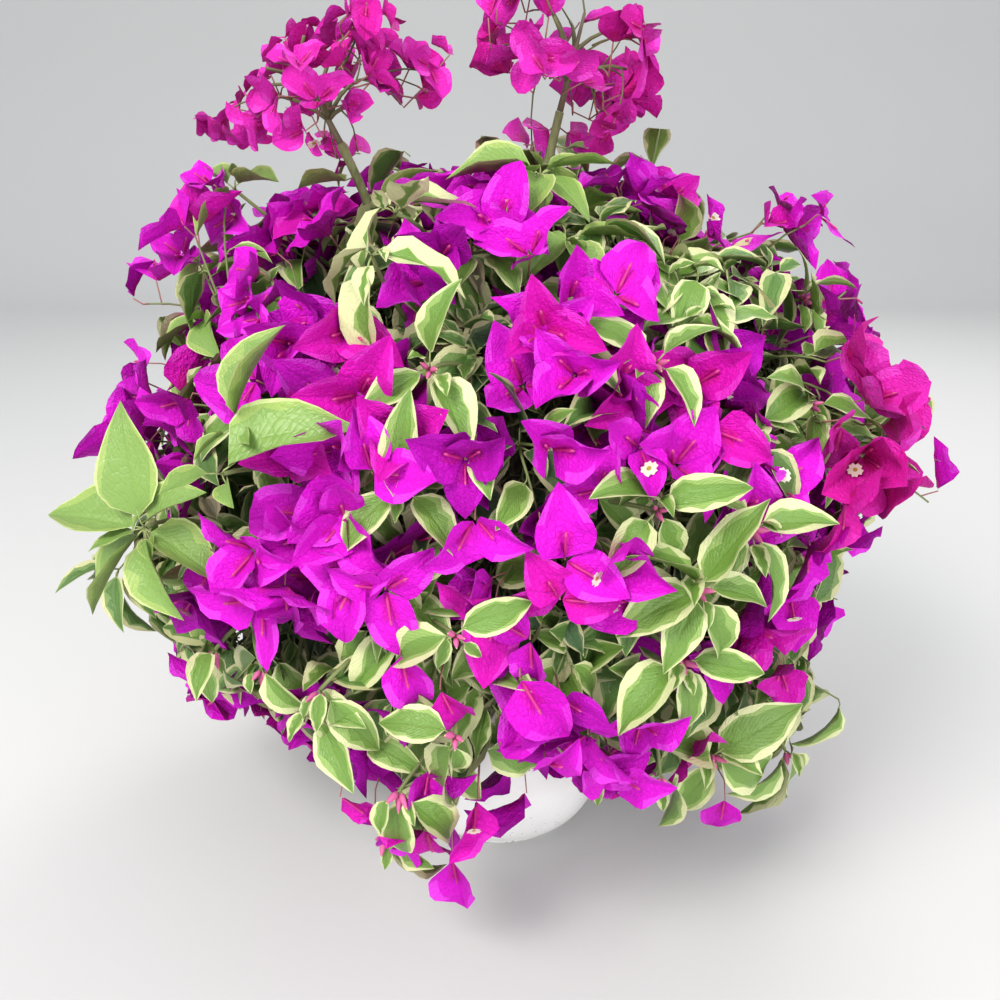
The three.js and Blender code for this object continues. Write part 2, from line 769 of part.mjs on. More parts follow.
/** A twig with the whorl that keeps the most blades, as a solid; or null where none has room. */
function growShoot(mass, twig, shape, random, outline) {
  const root = twig.getPointAt(1);
  const axis = twig.getTangentAt(1).lerp(mass.outwardAt(root), FACES_OUTWARD).normalize();
  const sizes = Array.from({ length: shape.blades }, () => between(BLADE_SIZES, random()));
  const start = random() * Math.PI * 2;
  let best = null;
  let bestPhase = 0;
  let mostKept = 0;
  for (const tilt of shape.tilts) {
    for (let i = 0; i < WHORL_PHASES; i += 1) {
      const phase = start + (i * 2 * Math.PI) / (WHORL_PHASES * shape.blades);
      const blades = standWhorl(mass, root, axis, shape, phase, tilt, sizes, outline);
      const kept = blades.filter((blade) => blade.corners).length;
      if (kept > mostKept) {
        best = blades;
        bestPhase = phase;
        mostKept = kept;
      }
    }
  }
  if (!best) return null;
  mass.blades.push(...best.filter((blade) => blade.room).map((blade) => blade.room));
  return solidFrom(shootGeometry(twig, axis, bestPhase, best));
}

/** The targets of each mass, each with the outline that its blades keep to. */
function shareTargets() {
  const targets = new Map(masses.map((mass) => [mass, []]));
  const crownMasses = masses.filter((mass) => !mass.spray);
  const random = seeded(TARGET_SEED);
  const giveToNearest = (point, outline) => {
    const nearest = crownMasses.reduce((best, mass) => (
      mass.site.distanceTo(point) < best.site.distanceTo(point) ? mass : best));
    targets.get(nearest).push({ point, outline });
  };
  for (const [bearing, aspect, share, outline] of FURTHEST_TWIGS) {
    giveToNearest(crownPoint(aim(bearing, aspect), share), outline);
  }
  const potWindow = aim(POT_WINDOW_BEARING, POT_WINDOW_ASPECT);
  for (const direction of evenDirections(TARGETS_ON_CROWN, CROWN_LOWEST_ASPECT)) {
    const share = between(TWIG_ENDS_AT, random());
    if (direction.angleTo(potWindow) < POT_WINDOW_SPREAD * DEG) continue;
    giveToNearest(crownPoint(direction, share), 1);
  }
  for (const mass of masses.filter((each) => each.spray)) {
    const half = new THREE.Vector3(...mass.spray.half);
    for (const direction of evenDirections(TARGETS_ON_SPRAY, SPRAY_LOWEST_ASPECT)) {
      const share = between(TWIG_ENDS_IN_SPRAY, random());
      const point = direction.clone().multiply(half).multiplyScalar(share).add(mass.site);
      targets.get(mass).push({ point, outline: 1 });
    }
  }
  return targets;
}

/** The share of the stem's length where a twig to a target leaves it. */
function leavingShare(stem, target) {
  let best = 1;
  let shortest = Infinity;
  for (let i = TWIG_FIRST_PLACE; i <= TWIG_PLACES; i += 1) {
    const t = i / TWIG_PLACES;
    const toTarget = target.clone().sub(stem.getPointAt(t));
    const length = toTarget.length();
    const turn = toTarget.angleTo(stem.getTangentAt(t)) / DEG;
    const cost = length * (1 + Math.max(0, turn - TWIG_EASY_TURN) / TWIG_TURN_COST);
    if (cost < shortest) {
      shortest = cost;
      best = t;
    }
  }
  return best;
}

function growMass(mass, targets) {
  const random = seeded(mass.seed);
  mass.blades = [];
  const length = mass.start.distanceTo(mass.end);
  const stem = new THREE.CubicBezierCurve3(
    mass.start,
    mass.start.clone().addScaledVector(mass.heading, length * STEM_BEND),
    mass.end.clone().addScaledVector(mass.direction, -length * STEM_BEND),
    mass.end,
  );
  const stemRadius = taper(STEM_RADIUS, STEM_TIP_RADIUS);
  const solids = [solidFrom(limbGeometry(stem, stemRadius, STEM_SIDES, STEM_STEPS))];
  for (const { point, outline } of targets) {
    const leaves = leavingShare(stem, point);
    const from = stem.getPointAt(leaves);
    const span = from.distanceTo(point);
    const bend = from.clone().lerp(point, 0.5)
      .addScaledVector(stem.getTangentAt(leaves), span * TWIG_ARCH)
      .addScaledVector(UP, span * TWIG_SAG);
    const twig = new THREE.QuadraticBezierCurve3(from, bend, point);
    if (!twigFits(mass, twig)) continue;
    const shape = mass.kind === 'blossom' ? BRACT_WHORL : LEAF_WHORL;
    const shoot = growShoot(mass, twig, shape, random, outline);
    if (shoot) solids.push(shoot);
  }
  const material = mass.kind === 'blossom' ? MAGENTA : LEAF_GREEN;
  addPiece(mass.name, mainBody(fuse(solids)), material);
}

buildPot();
buildSoil();
addPiece('trunk', mainBody(trunkSolid(0)), BARK);
growBoughs();
growCanes();
const targets = shareTargets();
for (const mass of masses) growMass(mass, targets.get(mass));

export default plant;
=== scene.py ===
"""A bougainvillea bush in its white bowl pot, dressed for a studio picture.

Metres, +Z up. The origin is the centre of the pot's flat underside, the front of the plant
faces -Y, and bearings turn from the front towards +X. Boughs, stems and twigs grow by the
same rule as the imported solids, and finer shoots, leaves and blossom grow on from them.
"""

import enum
import logging
import math
from collections.abc import Callable, Sequence
from dataclasses import dataclass, field

import bmesh
import bpy
import numpy as np
from mathutils import Matrix, Vector, noise


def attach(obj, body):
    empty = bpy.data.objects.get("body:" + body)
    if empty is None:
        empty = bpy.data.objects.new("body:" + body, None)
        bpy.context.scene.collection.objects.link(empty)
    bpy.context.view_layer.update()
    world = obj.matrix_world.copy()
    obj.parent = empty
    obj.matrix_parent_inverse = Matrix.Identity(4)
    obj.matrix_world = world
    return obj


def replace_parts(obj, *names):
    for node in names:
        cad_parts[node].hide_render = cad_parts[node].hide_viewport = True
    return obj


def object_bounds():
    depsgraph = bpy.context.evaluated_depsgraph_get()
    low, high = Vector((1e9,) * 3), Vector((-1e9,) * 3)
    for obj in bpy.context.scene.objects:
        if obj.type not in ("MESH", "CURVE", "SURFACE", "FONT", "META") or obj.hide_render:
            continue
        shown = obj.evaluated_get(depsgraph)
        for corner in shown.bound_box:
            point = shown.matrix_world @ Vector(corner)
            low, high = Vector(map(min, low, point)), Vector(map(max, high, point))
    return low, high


LOG = logging.getLogger("bougainvillea")
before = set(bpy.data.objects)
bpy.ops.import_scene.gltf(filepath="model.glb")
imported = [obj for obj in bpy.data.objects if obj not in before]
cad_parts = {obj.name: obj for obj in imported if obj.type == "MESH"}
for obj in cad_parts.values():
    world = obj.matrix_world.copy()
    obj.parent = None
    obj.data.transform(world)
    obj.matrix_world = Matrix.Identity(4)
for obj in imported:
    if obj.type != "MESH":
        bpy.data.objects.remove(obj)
CAD_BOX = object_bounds()

BODY = "root"
DEG = math.pi / 180
GOLDEN_ANGLE = math.pi * (3 - math.sqrt(5))
GAP = 0.0003
UP = np.array((0.0, 0.0, 1.0))

Array = np.ndarray
Pair = tuple[float, float]
Place = tuple[float, float, float]
Colour = Place
BMesh = bmesh.types.BMesh
Material = bpy.types.Material
Piece = bpy.types.Object
Socket = bpy.types.NodeSocket


# Numbers and vectors.


class SeededStream:
    """A repeatable stream of numbers between 0 and 1, the same as the solids' own."""

    MASK = 0xFFFFFFFF

    def __init__(self, seed: int) -> None:
        """Starts the stream at a seed."""
        self.state = seed & self.MASK

    def __call__(self) -> float:
        """Gives the next number.

        Returns:
            The number.
        """
        self.state = (self.state + 0x6D2B79F5) & self.MASK
        mixed = self.state
        mixed = ((mixed ^ (mixed >> 15)) * (mixed | 1)) & self.MASK
        product = ((mixed ^ (mixed >> 7)) * (mixed | 61)) & self.MASK
        mixed ^= (mixed + product) & self.MASK
        return (mixed ^ (mixed >> 14)) / (self.MASK + 1)

    def between(self, least: float, most: float) -> float:
        """Gives a number from a range."""
        return least + (most - least) * self()

    def whole(self, count: int) -> int:
        """Gives a whole number below a count."""
        return min(int(self() * count), count - 1)

    def pick(self, choices: Sequence[object]) -> object:
        """Picks one of several."""
        return choices[self.whole(len(choices))]

    def direction(self) -> Array:
        """Gives a unit vector that points anywhere.

        Returns:
            The unit vector.
        """
        height = self.between(-1, 1)
        turn = self.between(0, 2 * math.pi)
        level = math.sqrt(1 - height * height)
        return np.array((level * math.cos(turn), level * math.sin(turn), height))


def unit(vector: Array) -> Array:
    """Gives a vector the length 1."""
    return vector / max(float(np.linalg.norm(vector)), 1e-12)


def aim(bearing: float, aspect: float) -> Array:
    """Gives the unit vector at a bearing from the front and an angle above the level.

    Args:
        bearing: Degrees from the front towards +X.
        aspect: Degrees above the level.

    Returns:
        The unit vector.
    """
    b, a = bearing * DEG, aspect * DEG
    return np.array((math.sin(b) * math.cos(a), -math.cos(b) * math.cos(a), math.sin(a)))


def square(axis: Array, turn: float) -> Array:
    """Gives a unit vector square to another, turned about it.

    Args:
        axis: The unit vector to be square to.
        turn: Radians about it.

    Returns:
        The unit vector.
    """
    start = UP if abs(axis[2]) < 0.9 else np.array((1.0, 0.0, 0.0))
    first = unit(np.cross(start, axis))
    second = np.cross(axis, first)
    return first * math.cos(turn) + second * math.sin(turn)


def leaning(axis: Array, side: Array, lean: float) -> Array:
    """Gives the unit vector that leans from an axis towards a side, by degrees."""
    return axis * math.cos(lean * DEG) + side * math.sin(lean * DEG)


def even_directions(count: int, lowest: float) -> list[Array]:
    """Spreads directions evenly by the golden angle.

    Args:
        count: How many.
        lowest: The lowest angle above the level, in degrees.

    Returns:
        The unit vectors, from the top down.
    """
    bottom = math.sin(lowest * DEG)
    found = []
    for i in range(count):
        height = 1 - (i + 0.5) / count * (1 - bottom)
        level = math.sqrt(1 - height * height)
        turn = i * GOLDEN_ANGLE
        found.append(np.array((math.sin(turn) * level, -math.cos(turn) * level, height)))
    return found


class Bezier:
    """A Bezier curve whose points are found by their share of its length."""

    SAMPLES = 200
    NEAR = 0.004

    def __init__(self, *controls: Array) -> None:
        """Measures the curve.

        Args:
            controls: Its control points.
        """
        self.controls = np.array(controls, float)
        self._t = np.linspace(0, 1, self.SAMPLES + 1)
        steps = np.linalg.norm(np.diff(self._points(self._t), axis=0), axis=1)
        self._lengths = np.concatenate(([0.0], np.cumsum(steps)))

    @property
    def length(self) -> float:
        """The curve's length."""
        return float(self._lengths[-1])

    def _points(self, t: Array) -> Array:
        """Gives points of the curve, by Bernstein's polynomials.

        Args:
            t: Their parameters.

        Returns:
            The points.
        """
        degree = len(self.controls) - 1
        t = np.asarray(t, float)[..., None]
        total = 0.0
        for k, control in enumerate(self.controls):
            total = total + math.comb(degree, k) * (1 - t) ** (degree - k) * t**k * control
        return total

    def at(self, share: float | Array) -> Array:
        """Gives the point or points at a share of the length."""
        t = np.interp(np.asarray(share) * self.length, self._lengths, self._t)
        return self._points(t)

    def tangent(self, share: float) -> Array:
        """Gives the unit tangent at a share of the length."""
        return unit(self.at(min(share + self.NEAR, 1)) - self.at(max(share - self.NEAR, 0)))


# The rule that the plant grows by.


@dataclass(frozen=True)
class Crown:
    """The dome that the crown fills, with a hanging skirt."""

    middle: float = 0.262
    half_width: float = 0.25
    half_depth: float = 0.24
    rise: float = 0.214
    drop: float = 0.216
    skirt: float = 2.6
    lowest_aspect: float = -52
    lobe_depth: float = 0.03
    lobes_even: int = 4
    lobes_odd: int = 3
    lobes_turn: float = 3

    @property
    def centre(self) -> Array:
        """The crown's middle."""
        return UP * self.middle

    def share(self, points: Array) -> Array:
        """Tells how far out points are.

        Args:
            points: The points.

        Returns:
            For each, 0 at the crown's middle and 1 on its outline.
        """
        v = np.asarray(points, float) - self.centre
        level = np.hypot(v[..., 0] / self.half_width, v[..., 1] / self.half_depth)
        below = v[..., 2] < 0
        power = np.where(below, self.skirt, 2.0)
        upright = np.abs(v[..., 2]) / np.where(below, self.drop, self.rise)
        turn = np.arctan2(v[..., 0], -v[..., 1])
        lobes = np.cos(self.lobes_even * turn) + np.sin(self.lobes_odd * turn + self.lobes_turn)
        swell = 1 + self.lobe_depth * lobes * level / np.maximum(np.hypot(level, upright), 1e-9)
        return (level**power + upright**power) ** (1 / power) / swell

    def point(self, direction: Array, share: float) -> Array:
        """Gives the point in a direction from the middle, at a share of the way out."""
        return self.centre + direction * share / float(self.share(self.centre + direction))


@dataclass(frozen=True)
class Spray:
    """A tall cane's spray of blossom above the crown."""

    name: str
    at: Place
    half: Place
    lean: Place
    bearing: float
    rise: float
    spring: float

    def share(self, points: Array) -> Array:
        """Tells how far out points are: 0 at the spray's centre, 1 on its outline."""
        return np.linalg.norm((np.asarray(points) - self.at) / self.half, axis=-1)


@dataclass(frozen=True)
class TierPlan:
    """A tier of boughs, each with a leafy mass on one side and a blossoming one on the other."""

    name: str
    boughs: int
    bearing: float
    aspect: float
    split: float
    spring: float
    reach: float
    blossom_turn: int


TIERS = (
    TierPlan("low", 5, 4, -17, 18, 0.42, 0.5, 1),
    TierPlan("middle", 5, 22, 24, 18, 0.66, 0.46, -1),
    TierPlan("upper", 2, 15, 60, 45, 0.84, 0.4, 1),
)
SPRAYS = (
    Spray("left", (-0.112, -0.03, 0.515), (0.084, 0.062, 0.056), (-0.5, 0, 1), 285, 48, 0.9),
    Spray("right", (0.046, -0.024, 0.541), (0.066, 0.058, 0.068), (0.25, 0, 1), 100, 84, 0.99),
)


class Kind(enum.Enum):
    """What a mass carries."""

    LEAF = "leaf"
    BLOSSOM = "blossom"


@dataclass
class Limb:
    """A tapering limb along a curve."""

    name: str
    curve: Bezier
    root_radius: float
    tip_radius: float

    def radius(self, share: float) -> float:
        """Gives the limb's radius at a share of its length."""
        return self.root_radius + (self.tip_radius - self.root_radius) * share


@dataclass
class Mass:
    """A mass of foliage: its own space, its stem and twigs, and where shoots can leave them."""

    name: str
    kind: Kind
    tier: str
    direction: Array
    site: Array
    start: Array
    heading: Array
    end: Array
    source: Array
    share: Callable[[Array], Array]
    easy_turn: float = 45
    turn_cost: float = 30
    arch: float = 0.16
    sag: float = 0.1
    limbs: list[Limb] = field(default_factory=list)
    sprouts: list[Array] = field(default_factory=list)
    headings: list[Array] = field(default_factory=list)

    @property
    def in_spray(self) -> bool:
        """Whether the mass is a spray on a cane."""
        return self.tier == "sprays"

    def outward(self, point: Array) -> Array:
        """Gives the unit vector that leads out of the mass at a point."""
        return unit(point - self.source)

    def add_sprouts(self, limb: Limb, shares: Sequence[float]) -> None:
        """Notes the places of a limb that shoots can leave from.

        Args:
            limb: The limb.
            shares: The places, as shares of its length.
        """
        self.limbs.append(limb)
        self.sprouts += [limb.curve.at(s) for s in shares]
        self.headings += [limb.curve.tangent(s) for s in shares]

    def reach(self, target: Array) -> Bezier:
        """Gives the curve of a shoot: along its parent at first, then arching to its target.

        Args:
            target: Where it ends.

        Returns:
            The curve, from the sprout that is near and asks for no sharp turn.
        """
        ways = target - np.array(self.sprouts)
        lengths = np.maximum(np.linalg.norm(ways, axis=1), 1e-6)
        cosines = np.sum(ways * np.array(self.headings), axis=1) / lengths
        turns = np.arccos(np.clip(cosines, -1, 1)) / DEG
        costs = lengths * (1 + np.maximum(0, turns - self.easy_turn) / self.turn_cost)
        best = int(np.argmin(costs))
        start, heading = self.sprouts[best], self.headings[best]
        span = float(np.linalg.norm(target - start))
        bend = (start + target) / 2 + heading * span * self.arch + UP * span * self.sag
        return Bezier(start, bend, target)


@dataclass
class Skeleton:
    """The trunk, boughs, canes, stems and twigs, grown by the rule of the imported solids."""

    crown: Crown
    soil_top: float = 0.122
    trunk_top: float = 0.222
    trunk_lean: float = 0.009
    trunk_lean_bearing: float = 120
    trunk_radii: Pair = (0.0155, 0.0095)
    bough_radii: Pair = (0.0048, 0.0037)
    bough_stagger: float = 0.045
    bough_highest_spring: float = 0.97
    bough_bend: Place = (0.3, 0.28, 0.34)
    cane_radii: Pair = (0.004, 0.0026)
    cane_depth: float = 0.62
    cane_bend: Pair = (0.3, 0.35)
    stem_radii: Pair = (0.0023, 0.0019)
    stem_reach: float = 0.66
    stem_reach_in_spray: float = 0.2
    stem_bend: float = 0.3
    stem_sprouts: tuple[float, ...] = tuple(i / 10 for i in range(3, 11))
    twig_radii: Pair = (0.0015, 0.001)
    twig_sprouts: tuple[float, ...] = (0.45, 0.6, 0.75, 0.9, 1.0)
    mass_site: float = 0.86
    cell_margin: float = 0.0008
    targets: int = 160
    targets_on_spray: int = 12
    target_seed: int = 41
    twig_ends_at: Pair = (0.64, 0.85)
    twig_ends_in_spray: Pair = (0.3, 0.55)
    spray_lowest_aspect: float = -35
    furthest_twigs: tuple[Place, ...] = (
        (-78, -3, 0.92), (86, 3, 0.86), (97, -8, 0.8), (75, 13, 0.84), (8, -2, 0.82),
    )
    pot_window: Pair = (8, -46)
    pot_window_spread: float = 10

    def __post_init__(self) -> None:
        """Grows the whole skeleton."""
        foot = UP * (self.soil_top + GAP)
        tip = aim(self.trunk_lean_bearing, 0) * self.trunk_lean + UP * self.trunk_top
        knee = UP * (self.soil_top + self.trunk_top) / 2
        self.trunk = Limb("trunk", Bezier(foot, knee, tip), *self.trunk_radii)
        self.boughs: list[Limb] = []
        self.canes: list[Limb] = []
        self.masses: list[Mass] = []
        for tier in TIERS:
            self._grow_tier(tier)
        for spray in SPRAYS:
            self._grow_cane(spray)
        self._grow_twigs()

    @property
    def crown_masses(self) -> list[Mass]:
        """The masses that fill the crown."""
        return [mass for mass in self.masses if not mass.in_spray]

    @property
    def spray_masses(self) -> list[Mass]:
        """The two sprays."""
        return [mass for mass in self.masses if mass.in_spray]

    def nearest_mass(self, point: Array) -> Mass:
        """Finds the mass of the crown whose site is nearest to a point."""
        return min(self.crown_masses, key=lambda mass: float(np.linalg.norm(mass.site - point)))

    def _grow_tier(self, tier: TierPlan) -> None:
        """Grows a tier's boughs and starts the two masses of each.

        Args:
            tier: The tier.
        """
        out, up, arrive = self.bough_bend
        for i in range(tier.boughs):
            bearing = tier.bearing + i * 360 / tier.boughs
            direction = aim(bearing, tier.aspect)
            spring = min(tier.spring - self.bough_stagger * (i % 3), self.bough_highest_spring)
            start = self.trunk.curve.at(spring)
            end = self.crown.point(direction, tier.reach)
            span = float(np.linalg.norm(end - start))
            leave = start + aim(bearing, 0) * span * out + UP * span * up
            curve = Bezier(start, leave, end - direction * span * arrive, end)
            label = f"{len(self.boughs) + 1:02d}"
            self.boughs.append(Limb(f"bough_{label}", curve, *self.bough_radii))
            heading = curve.tangent(1)
            across = unit(np.cross(heading, UP))
            for turn in (-1, 1):
                kind = Kind.BLOSSOM if turn == tier.blossom_turn else Kind.LEAF
                way = aim(bearing + turn * tier.split, tier.aspect)
                site = self.crown.point(way, self.mass_site)
                side = 1.0 if float(across @ (site - end)) >= 0 else -1.0
                offset = across * side * (self.stem_radii[0] + self.cell_margin)
                self.masses.append(Mass(
                    f"{kind.value}_mass_{label}", kind, tier.name, way, site,
                    end + heading * GAP + offset, heading, self.crown.point(way, self.stem_reach),
                    self.crown.centre, self.crown.share,
                ))

    def _grow_cane(self, spray: Spray) -> None:
        """Grows a tall cane and starts its spray.

        Args:
            spray: The spray.
        """
        leave, arrive = self.cane_bend
        centre, lean = np.array(spray.at), unit(np.array(spray.lean, float))
        reach = 1 / float(spray.share(centre + lean))
        end = centre - lean * reach * self.cane_depth
        start = self.trunk.curve.at(spray.spring)
        span = float(np.linalg.norm(end - start))
        first = start + aim(spray.bearing, spray.rise) * span * leave
        curve = Bezier(start, first, end - lean * span * arrive, end)
        self.canes.append(Limb(f"cane_{spray.name}", curve, *self.cane_radii))
        heading = curve.tangent(1)
        self.masses.append(Mass(
            f"spray_mass_{spray.name}", Kind.BLOSSOM, "sprays", lean, centre,
            end + heading * GAP, heading, centre + lean * reach * self.stem_reach_in_spray,
            end, spray.share,
        ))

    def _grow_twigs(self) -> None:
        """Grows each mass's stem, then a twig to each of its targets."""
        stream = SeededStream(self.target_seed)
        points = [self.crown.point(aim(b, a), share) for b, a, share in self.furthest_twigs]
        window, spread = aim(*self.pot_window), math.cos(self.pot_window_spread * DEG)
        for direction in even_directions(self.targets, self.crown.lowest_aspect):
            share = stream.between(*self.twig_ends_at)
            if float(direction @ window) <= spread:
                points.append(self.crown.point(direction, share))
        targets = [(self.nearest_mass(point), point) for point in points]
        for mass, spray in zip(self.spray_masses, SPRAYS):
            for direction in even_directions(self.targets_on_spray, self.spray_lowest_aspect):
                share = stream.between(*self.twig_ends_in_spray)
                targets.append((mass, np.array(spray.at) + direction * spray.half * share))
        for mass in self.masses:
            bend = float(np.linalg.norm(mass.end - mass.start)) * self.stem_bend
            near, far = mass.start + mass.heading * bend, mass.end - mass.direction * bend
            stem = Limb("stem", Bezier(mass.start, near, far, mass.end), *self.stem_radii)
            mass.add_sprouts(stem, self.stem_sprouts)
            for curve in [mass.reach(point) for owner, point in targets if owner is mass]:
                mass.add_sprouts(Limb("twig", curve, *self.twig_radii), self.twig_sprouts)


# The picture's view, and what grows where in it.


@dataclass(frozen=True)
class View:
    """Where the camera stands, and what its square picture shows."""

    place: Place = (0.0, -0.68, 0.479)
    down: float = 18.9
    angle: float = 52.0
    side: int = 1000
    nearest: float = 0.28
    furthest: float = 0.78

    @property
    def axes(self) -> tuple[Array, Array, Array]:
        """The unit vectors to the right, upwards and forwards."""
        forward = aim(180, -self.down)
        right = np.array((1.0, 0.0, 0.0))
        return right, np.cross(right, forward), forward

    @property
    def focus(self) -> float:
        """The distance at which a pixel is 1 across."""
        return self.side / 2 / math.tan(self.angle * DEG / 2)

    def back(self, point: Array) -> Array:
        """Gives the unit vector from a point to the camera."""
        return unit(np.array(self.place) - point)

    def pixels(self, points: Array) -> Array:
        """Gives the places of points in the picture.

        Args:
            points: The points.

        Returns:
            Their places, in pixels from its top left.
        """
        right, up, forward = self.axes
        way = np.asarray(points) - np.array(self.place)
        depth = way @ forward
        across = self.side / 2 + self.focus * (way @ right) / depth
        return np.stack((across, self.side / 2 - self.focus * (way @ up) / depth), axis=-1)

    def at_depth(self, at: Pair, depth: float) -> Array:
        """Gives the place that a pixel shows at a depth.

        Args:
            at: The pixel.
            depth: How far in front of the camera the place is.

        Returns:
            The place.
        """
        right, up, forward = self.axes
        x, y = (at[0] - self.side / 2) / self.focus, (self.side / 2 - at[1]) / self.focus
        return np.array(self.place) + (forward + right * x + up * y) * depth

    def turn_to(self, point: Array, axis: Array, clockwise: float) -> float:
        """Finds the turn about an axis that leads a given way in the picture.

        Args:
            point: Where the axis starts.
            axis: The axis.
            clockwise: The way, in degrees clockwise from the top of the picture.

        Returns:
            The turn, in radians.
        """
        wanted = np.array((math.sin(clockwise * DEG), -math.cos(clockwise * DEG)))
        turns = np.arange(72) * 5 * DEG
        ends = np.array([point + square(axis, turn) * 0.01 for turn in turns])
        return float(turns[int(np.argmax((self.pixels(ends) - self.pixels(point)) @ wanted))])

    def faces(self, point: Array, outward: Array) -> bool:
        """Tells whether a place of the crown shows its outside to the camera."""
        return float(self.back(point) @ outward) > 0.05

    def on_crown(self, crown: Crown, at: Pair, share: float) -> Array:
        """Finds the place that a pixel shows.

        Args:
            crown: The crown that is looked at.
            at: The pixel.
            share: How far out in the crown the place is.

        Returns:
            The nearest such place, or the one that the line of sight comes closest to.
        """
        depths = np.linspace(self.nearest, self.furthest, 501)
        points = np.array([self.at_depth(at, depth) for depth in depths])
        shares = crown.share(points)
        inside = np.nonzero(shares <= share)[0]
        return points[inside[0] if len(inside) else int(np.argmin(shares))]


class Tip(enum.Enum):
    """What a shoot carries at its end."""

    BLOSSOM = "magenta bracts"
    LEAVES = "a whorl of cream-edged leaves"
    LIME = "a whorl of plain lime leaves"
    PALE = "nearly cream leaves"
    ROSE = "pinker, rounder bracts"
    OPEN = "nothing: the shoot stops short"


@dataclass(frozen=True)
class Patch:
    """A round patch of the picture, in pixels, where shoots carry one thing."""

    tip: Tip
    x: float
    y: float
    radius: float


PATCHES = tuple(Patch(tip, *place) for tip, places in {
    Tip.BLOSSOM: (
        (215, 215, 62), (425, 250, 45), (500, 222, 55), (275, 350, 42), (345, 345, 55), (365, 410, 52),
        (320, 455, 32), (590, 300, 55), (575, 375, 52), (525, 430, 62), (465, 505, 32), (690, 215, 45),
        (820, 215, 55), (825, 325, 36), (712, 390, 45), (675, 465, 50), (750, 510, 55), (560, 560, 70),
        (635, 610, 52), (785, 590, 52), (750, 660, 36), (360, 530, 42), (340, 590, 50), (280, 595, 42),
        (200, 595, 48), (400, 655, 45), (505, 685, 50), (585, 735, 58), (480, 800, 50), (372, 820, 28),
        (728, 815, 34), (640, 185, 30), (175, 400, 45), (330, 250, 40),
    ),
    Tip.ROSE: ((885, 390, 55), (872, 465, 50)),
    Tip.PALE: ((395, 195, 42), (355, 280, 32)),
    Tip.LIME: ((548, 172, 50), (262, 425, 34)),
    Tip.LEAVES: (
        (455, 335, 52), (640, 250, 30), (705, 310, 52), (775, 290, 36), (790, 375, 42), (640, 390, 22),
        (415, 490, 42), (450, 635, 22), (775, 445, 40), (640, 520, 22), (700, 590, 50), (675, 685, 42),
        (430, 745, 58), (340, 705, 45), (710, 765, 55), (655, 790, 36), (230, 672, 50), (790, 770, 40),
        (205, 320, 48), (590, 665, 30), (205, 455, 30), (425, 395, 30),
    ),
    Tip.OPEN: (
        (490, 575, 30), (160, 520, 52), (440, 574, 50), (505, 520, 24), (592, 655, 32), (425, 455, 32),
        (420, 520, 24), (300, 245, 28), (260, 500, 30), (600, 345, 22), (650, 300, 24), (820, 500, 22),
    ),
}.items() for place in places)


# The outlines of the crown and of each spray in the view, clockwise.
CROWN_OUTLINE = np.array((
    (180, 150), (262, 120), (285, 190), (330, 180), (380, 165), (440, 150), (455, 165), (505, 162),
    (530, 148), (600, 155), (655, 153), (675, 163), (718, 178), (734, 215), (745, 236), (765, 222),
    (790, 190), (822, 182), (852, 202), (850, 245), (872, 330), (938, 385), (936, 455), (905, 505),
    (880, 532), (845, 545), (820, 600), (812, 690), (815, 765), (838, 832), (772, 806), (762, 832),
    (716, 852), (700, 805), (674, 862), (648, 800), (600, 812), (585, 778), (530, 770), (482, 776),
    (486, 835), (488, 922), (418, 918), (424, 866), (385, 885), (338, 830), (350, 792), (330, 765),
    (342, 720), (284, 752), (262, 705), (216, 718), (180, 692), (158, 645), (92, 640), (28, 600),
    (24, 455), (96, 405), (132, 350), (150, 290), (128, 240), (168, 195),
))


SPRAY_OUTLINES = {
    "spray_mass_left": np.array((
        (190, 172), (186, 128), (244, 90), (256, 58), (298, 22), (345, 14), (362, -60), (484, -60),
        (474, 42), (452, 112), (402, 124), (374, 152), (332, 166), (300, 144), (264, 150), (238, 174),
    )),
    "spray_mass_right": np.array((
        (462, 142), (464, 60), (494, 18), (500, -90), (575, -90), (570, 58), (604, 40), (610, 12),
        (652, 26), (646, 60), (680, 60), (676, 128), (640, 134), (614, 116), (606, 152), (538, 160),
        (518, 124), (494, 122),
    )),
}


@dataclass(frozen=True)
class SprayLook:
    """Where a spray's clumps of blossom are in the view, and how long its bracts are."""

    clumps: tuple[Pair, ...]
    shoots: int
    bract: Pair


SPRAY_LOOKS = {
    "spray_mass_left": SprayLook((
        (228, 138), (240, 118), (264, 96), (285, 84), (294, 110), (316, 48), (336, 66), (333, 102),
        (339, 132), (357, 36), (387, 36), (360, 72), (402, 96), (429, 78), (438, 56), (444, 24), (466, 10),
        (428, -16), (398, -4), (450, -22),
    ), 3, (0.017, 0.023)),
    "spray_mass_right": SprayLook((
        (534, 12), (492, 60), (510, 44), (552, 36), (534, 66), (484, 104), (558, 84), (582, 116),
        (615, 48), (617, 88), (648, 92), (549, 135), (594, 66), (522, -18), (552, -44), (560, -10),
    ), 3, (0.021, 0.028)),
}


def inside(outline: Array, point: Array) -> bool:
    """Tells whether a pixel is inside an outline, by counting the edges to its right.

    Args:
        outline: The corners of the outline, in order.
        point: The pixel.

    Returns:
        Whether it is inside.
    """
    x, y = float(point[0]), float(point[1])
    first, second = outline, np.roll(outline, -1, axis=0)
    crosses = (first[:, 1] > y) != (second[:, 1] > y)
    rise = np.where(crosses, second[:, 1] - first[:, 1], 1.0)
    edge = first[:, 0] + (y - first[:, 1]) * (second[:, 0] - first[:, 0]) / rise
    return bool(np.count_nonzero(crosses & (edge > x)) % 2)


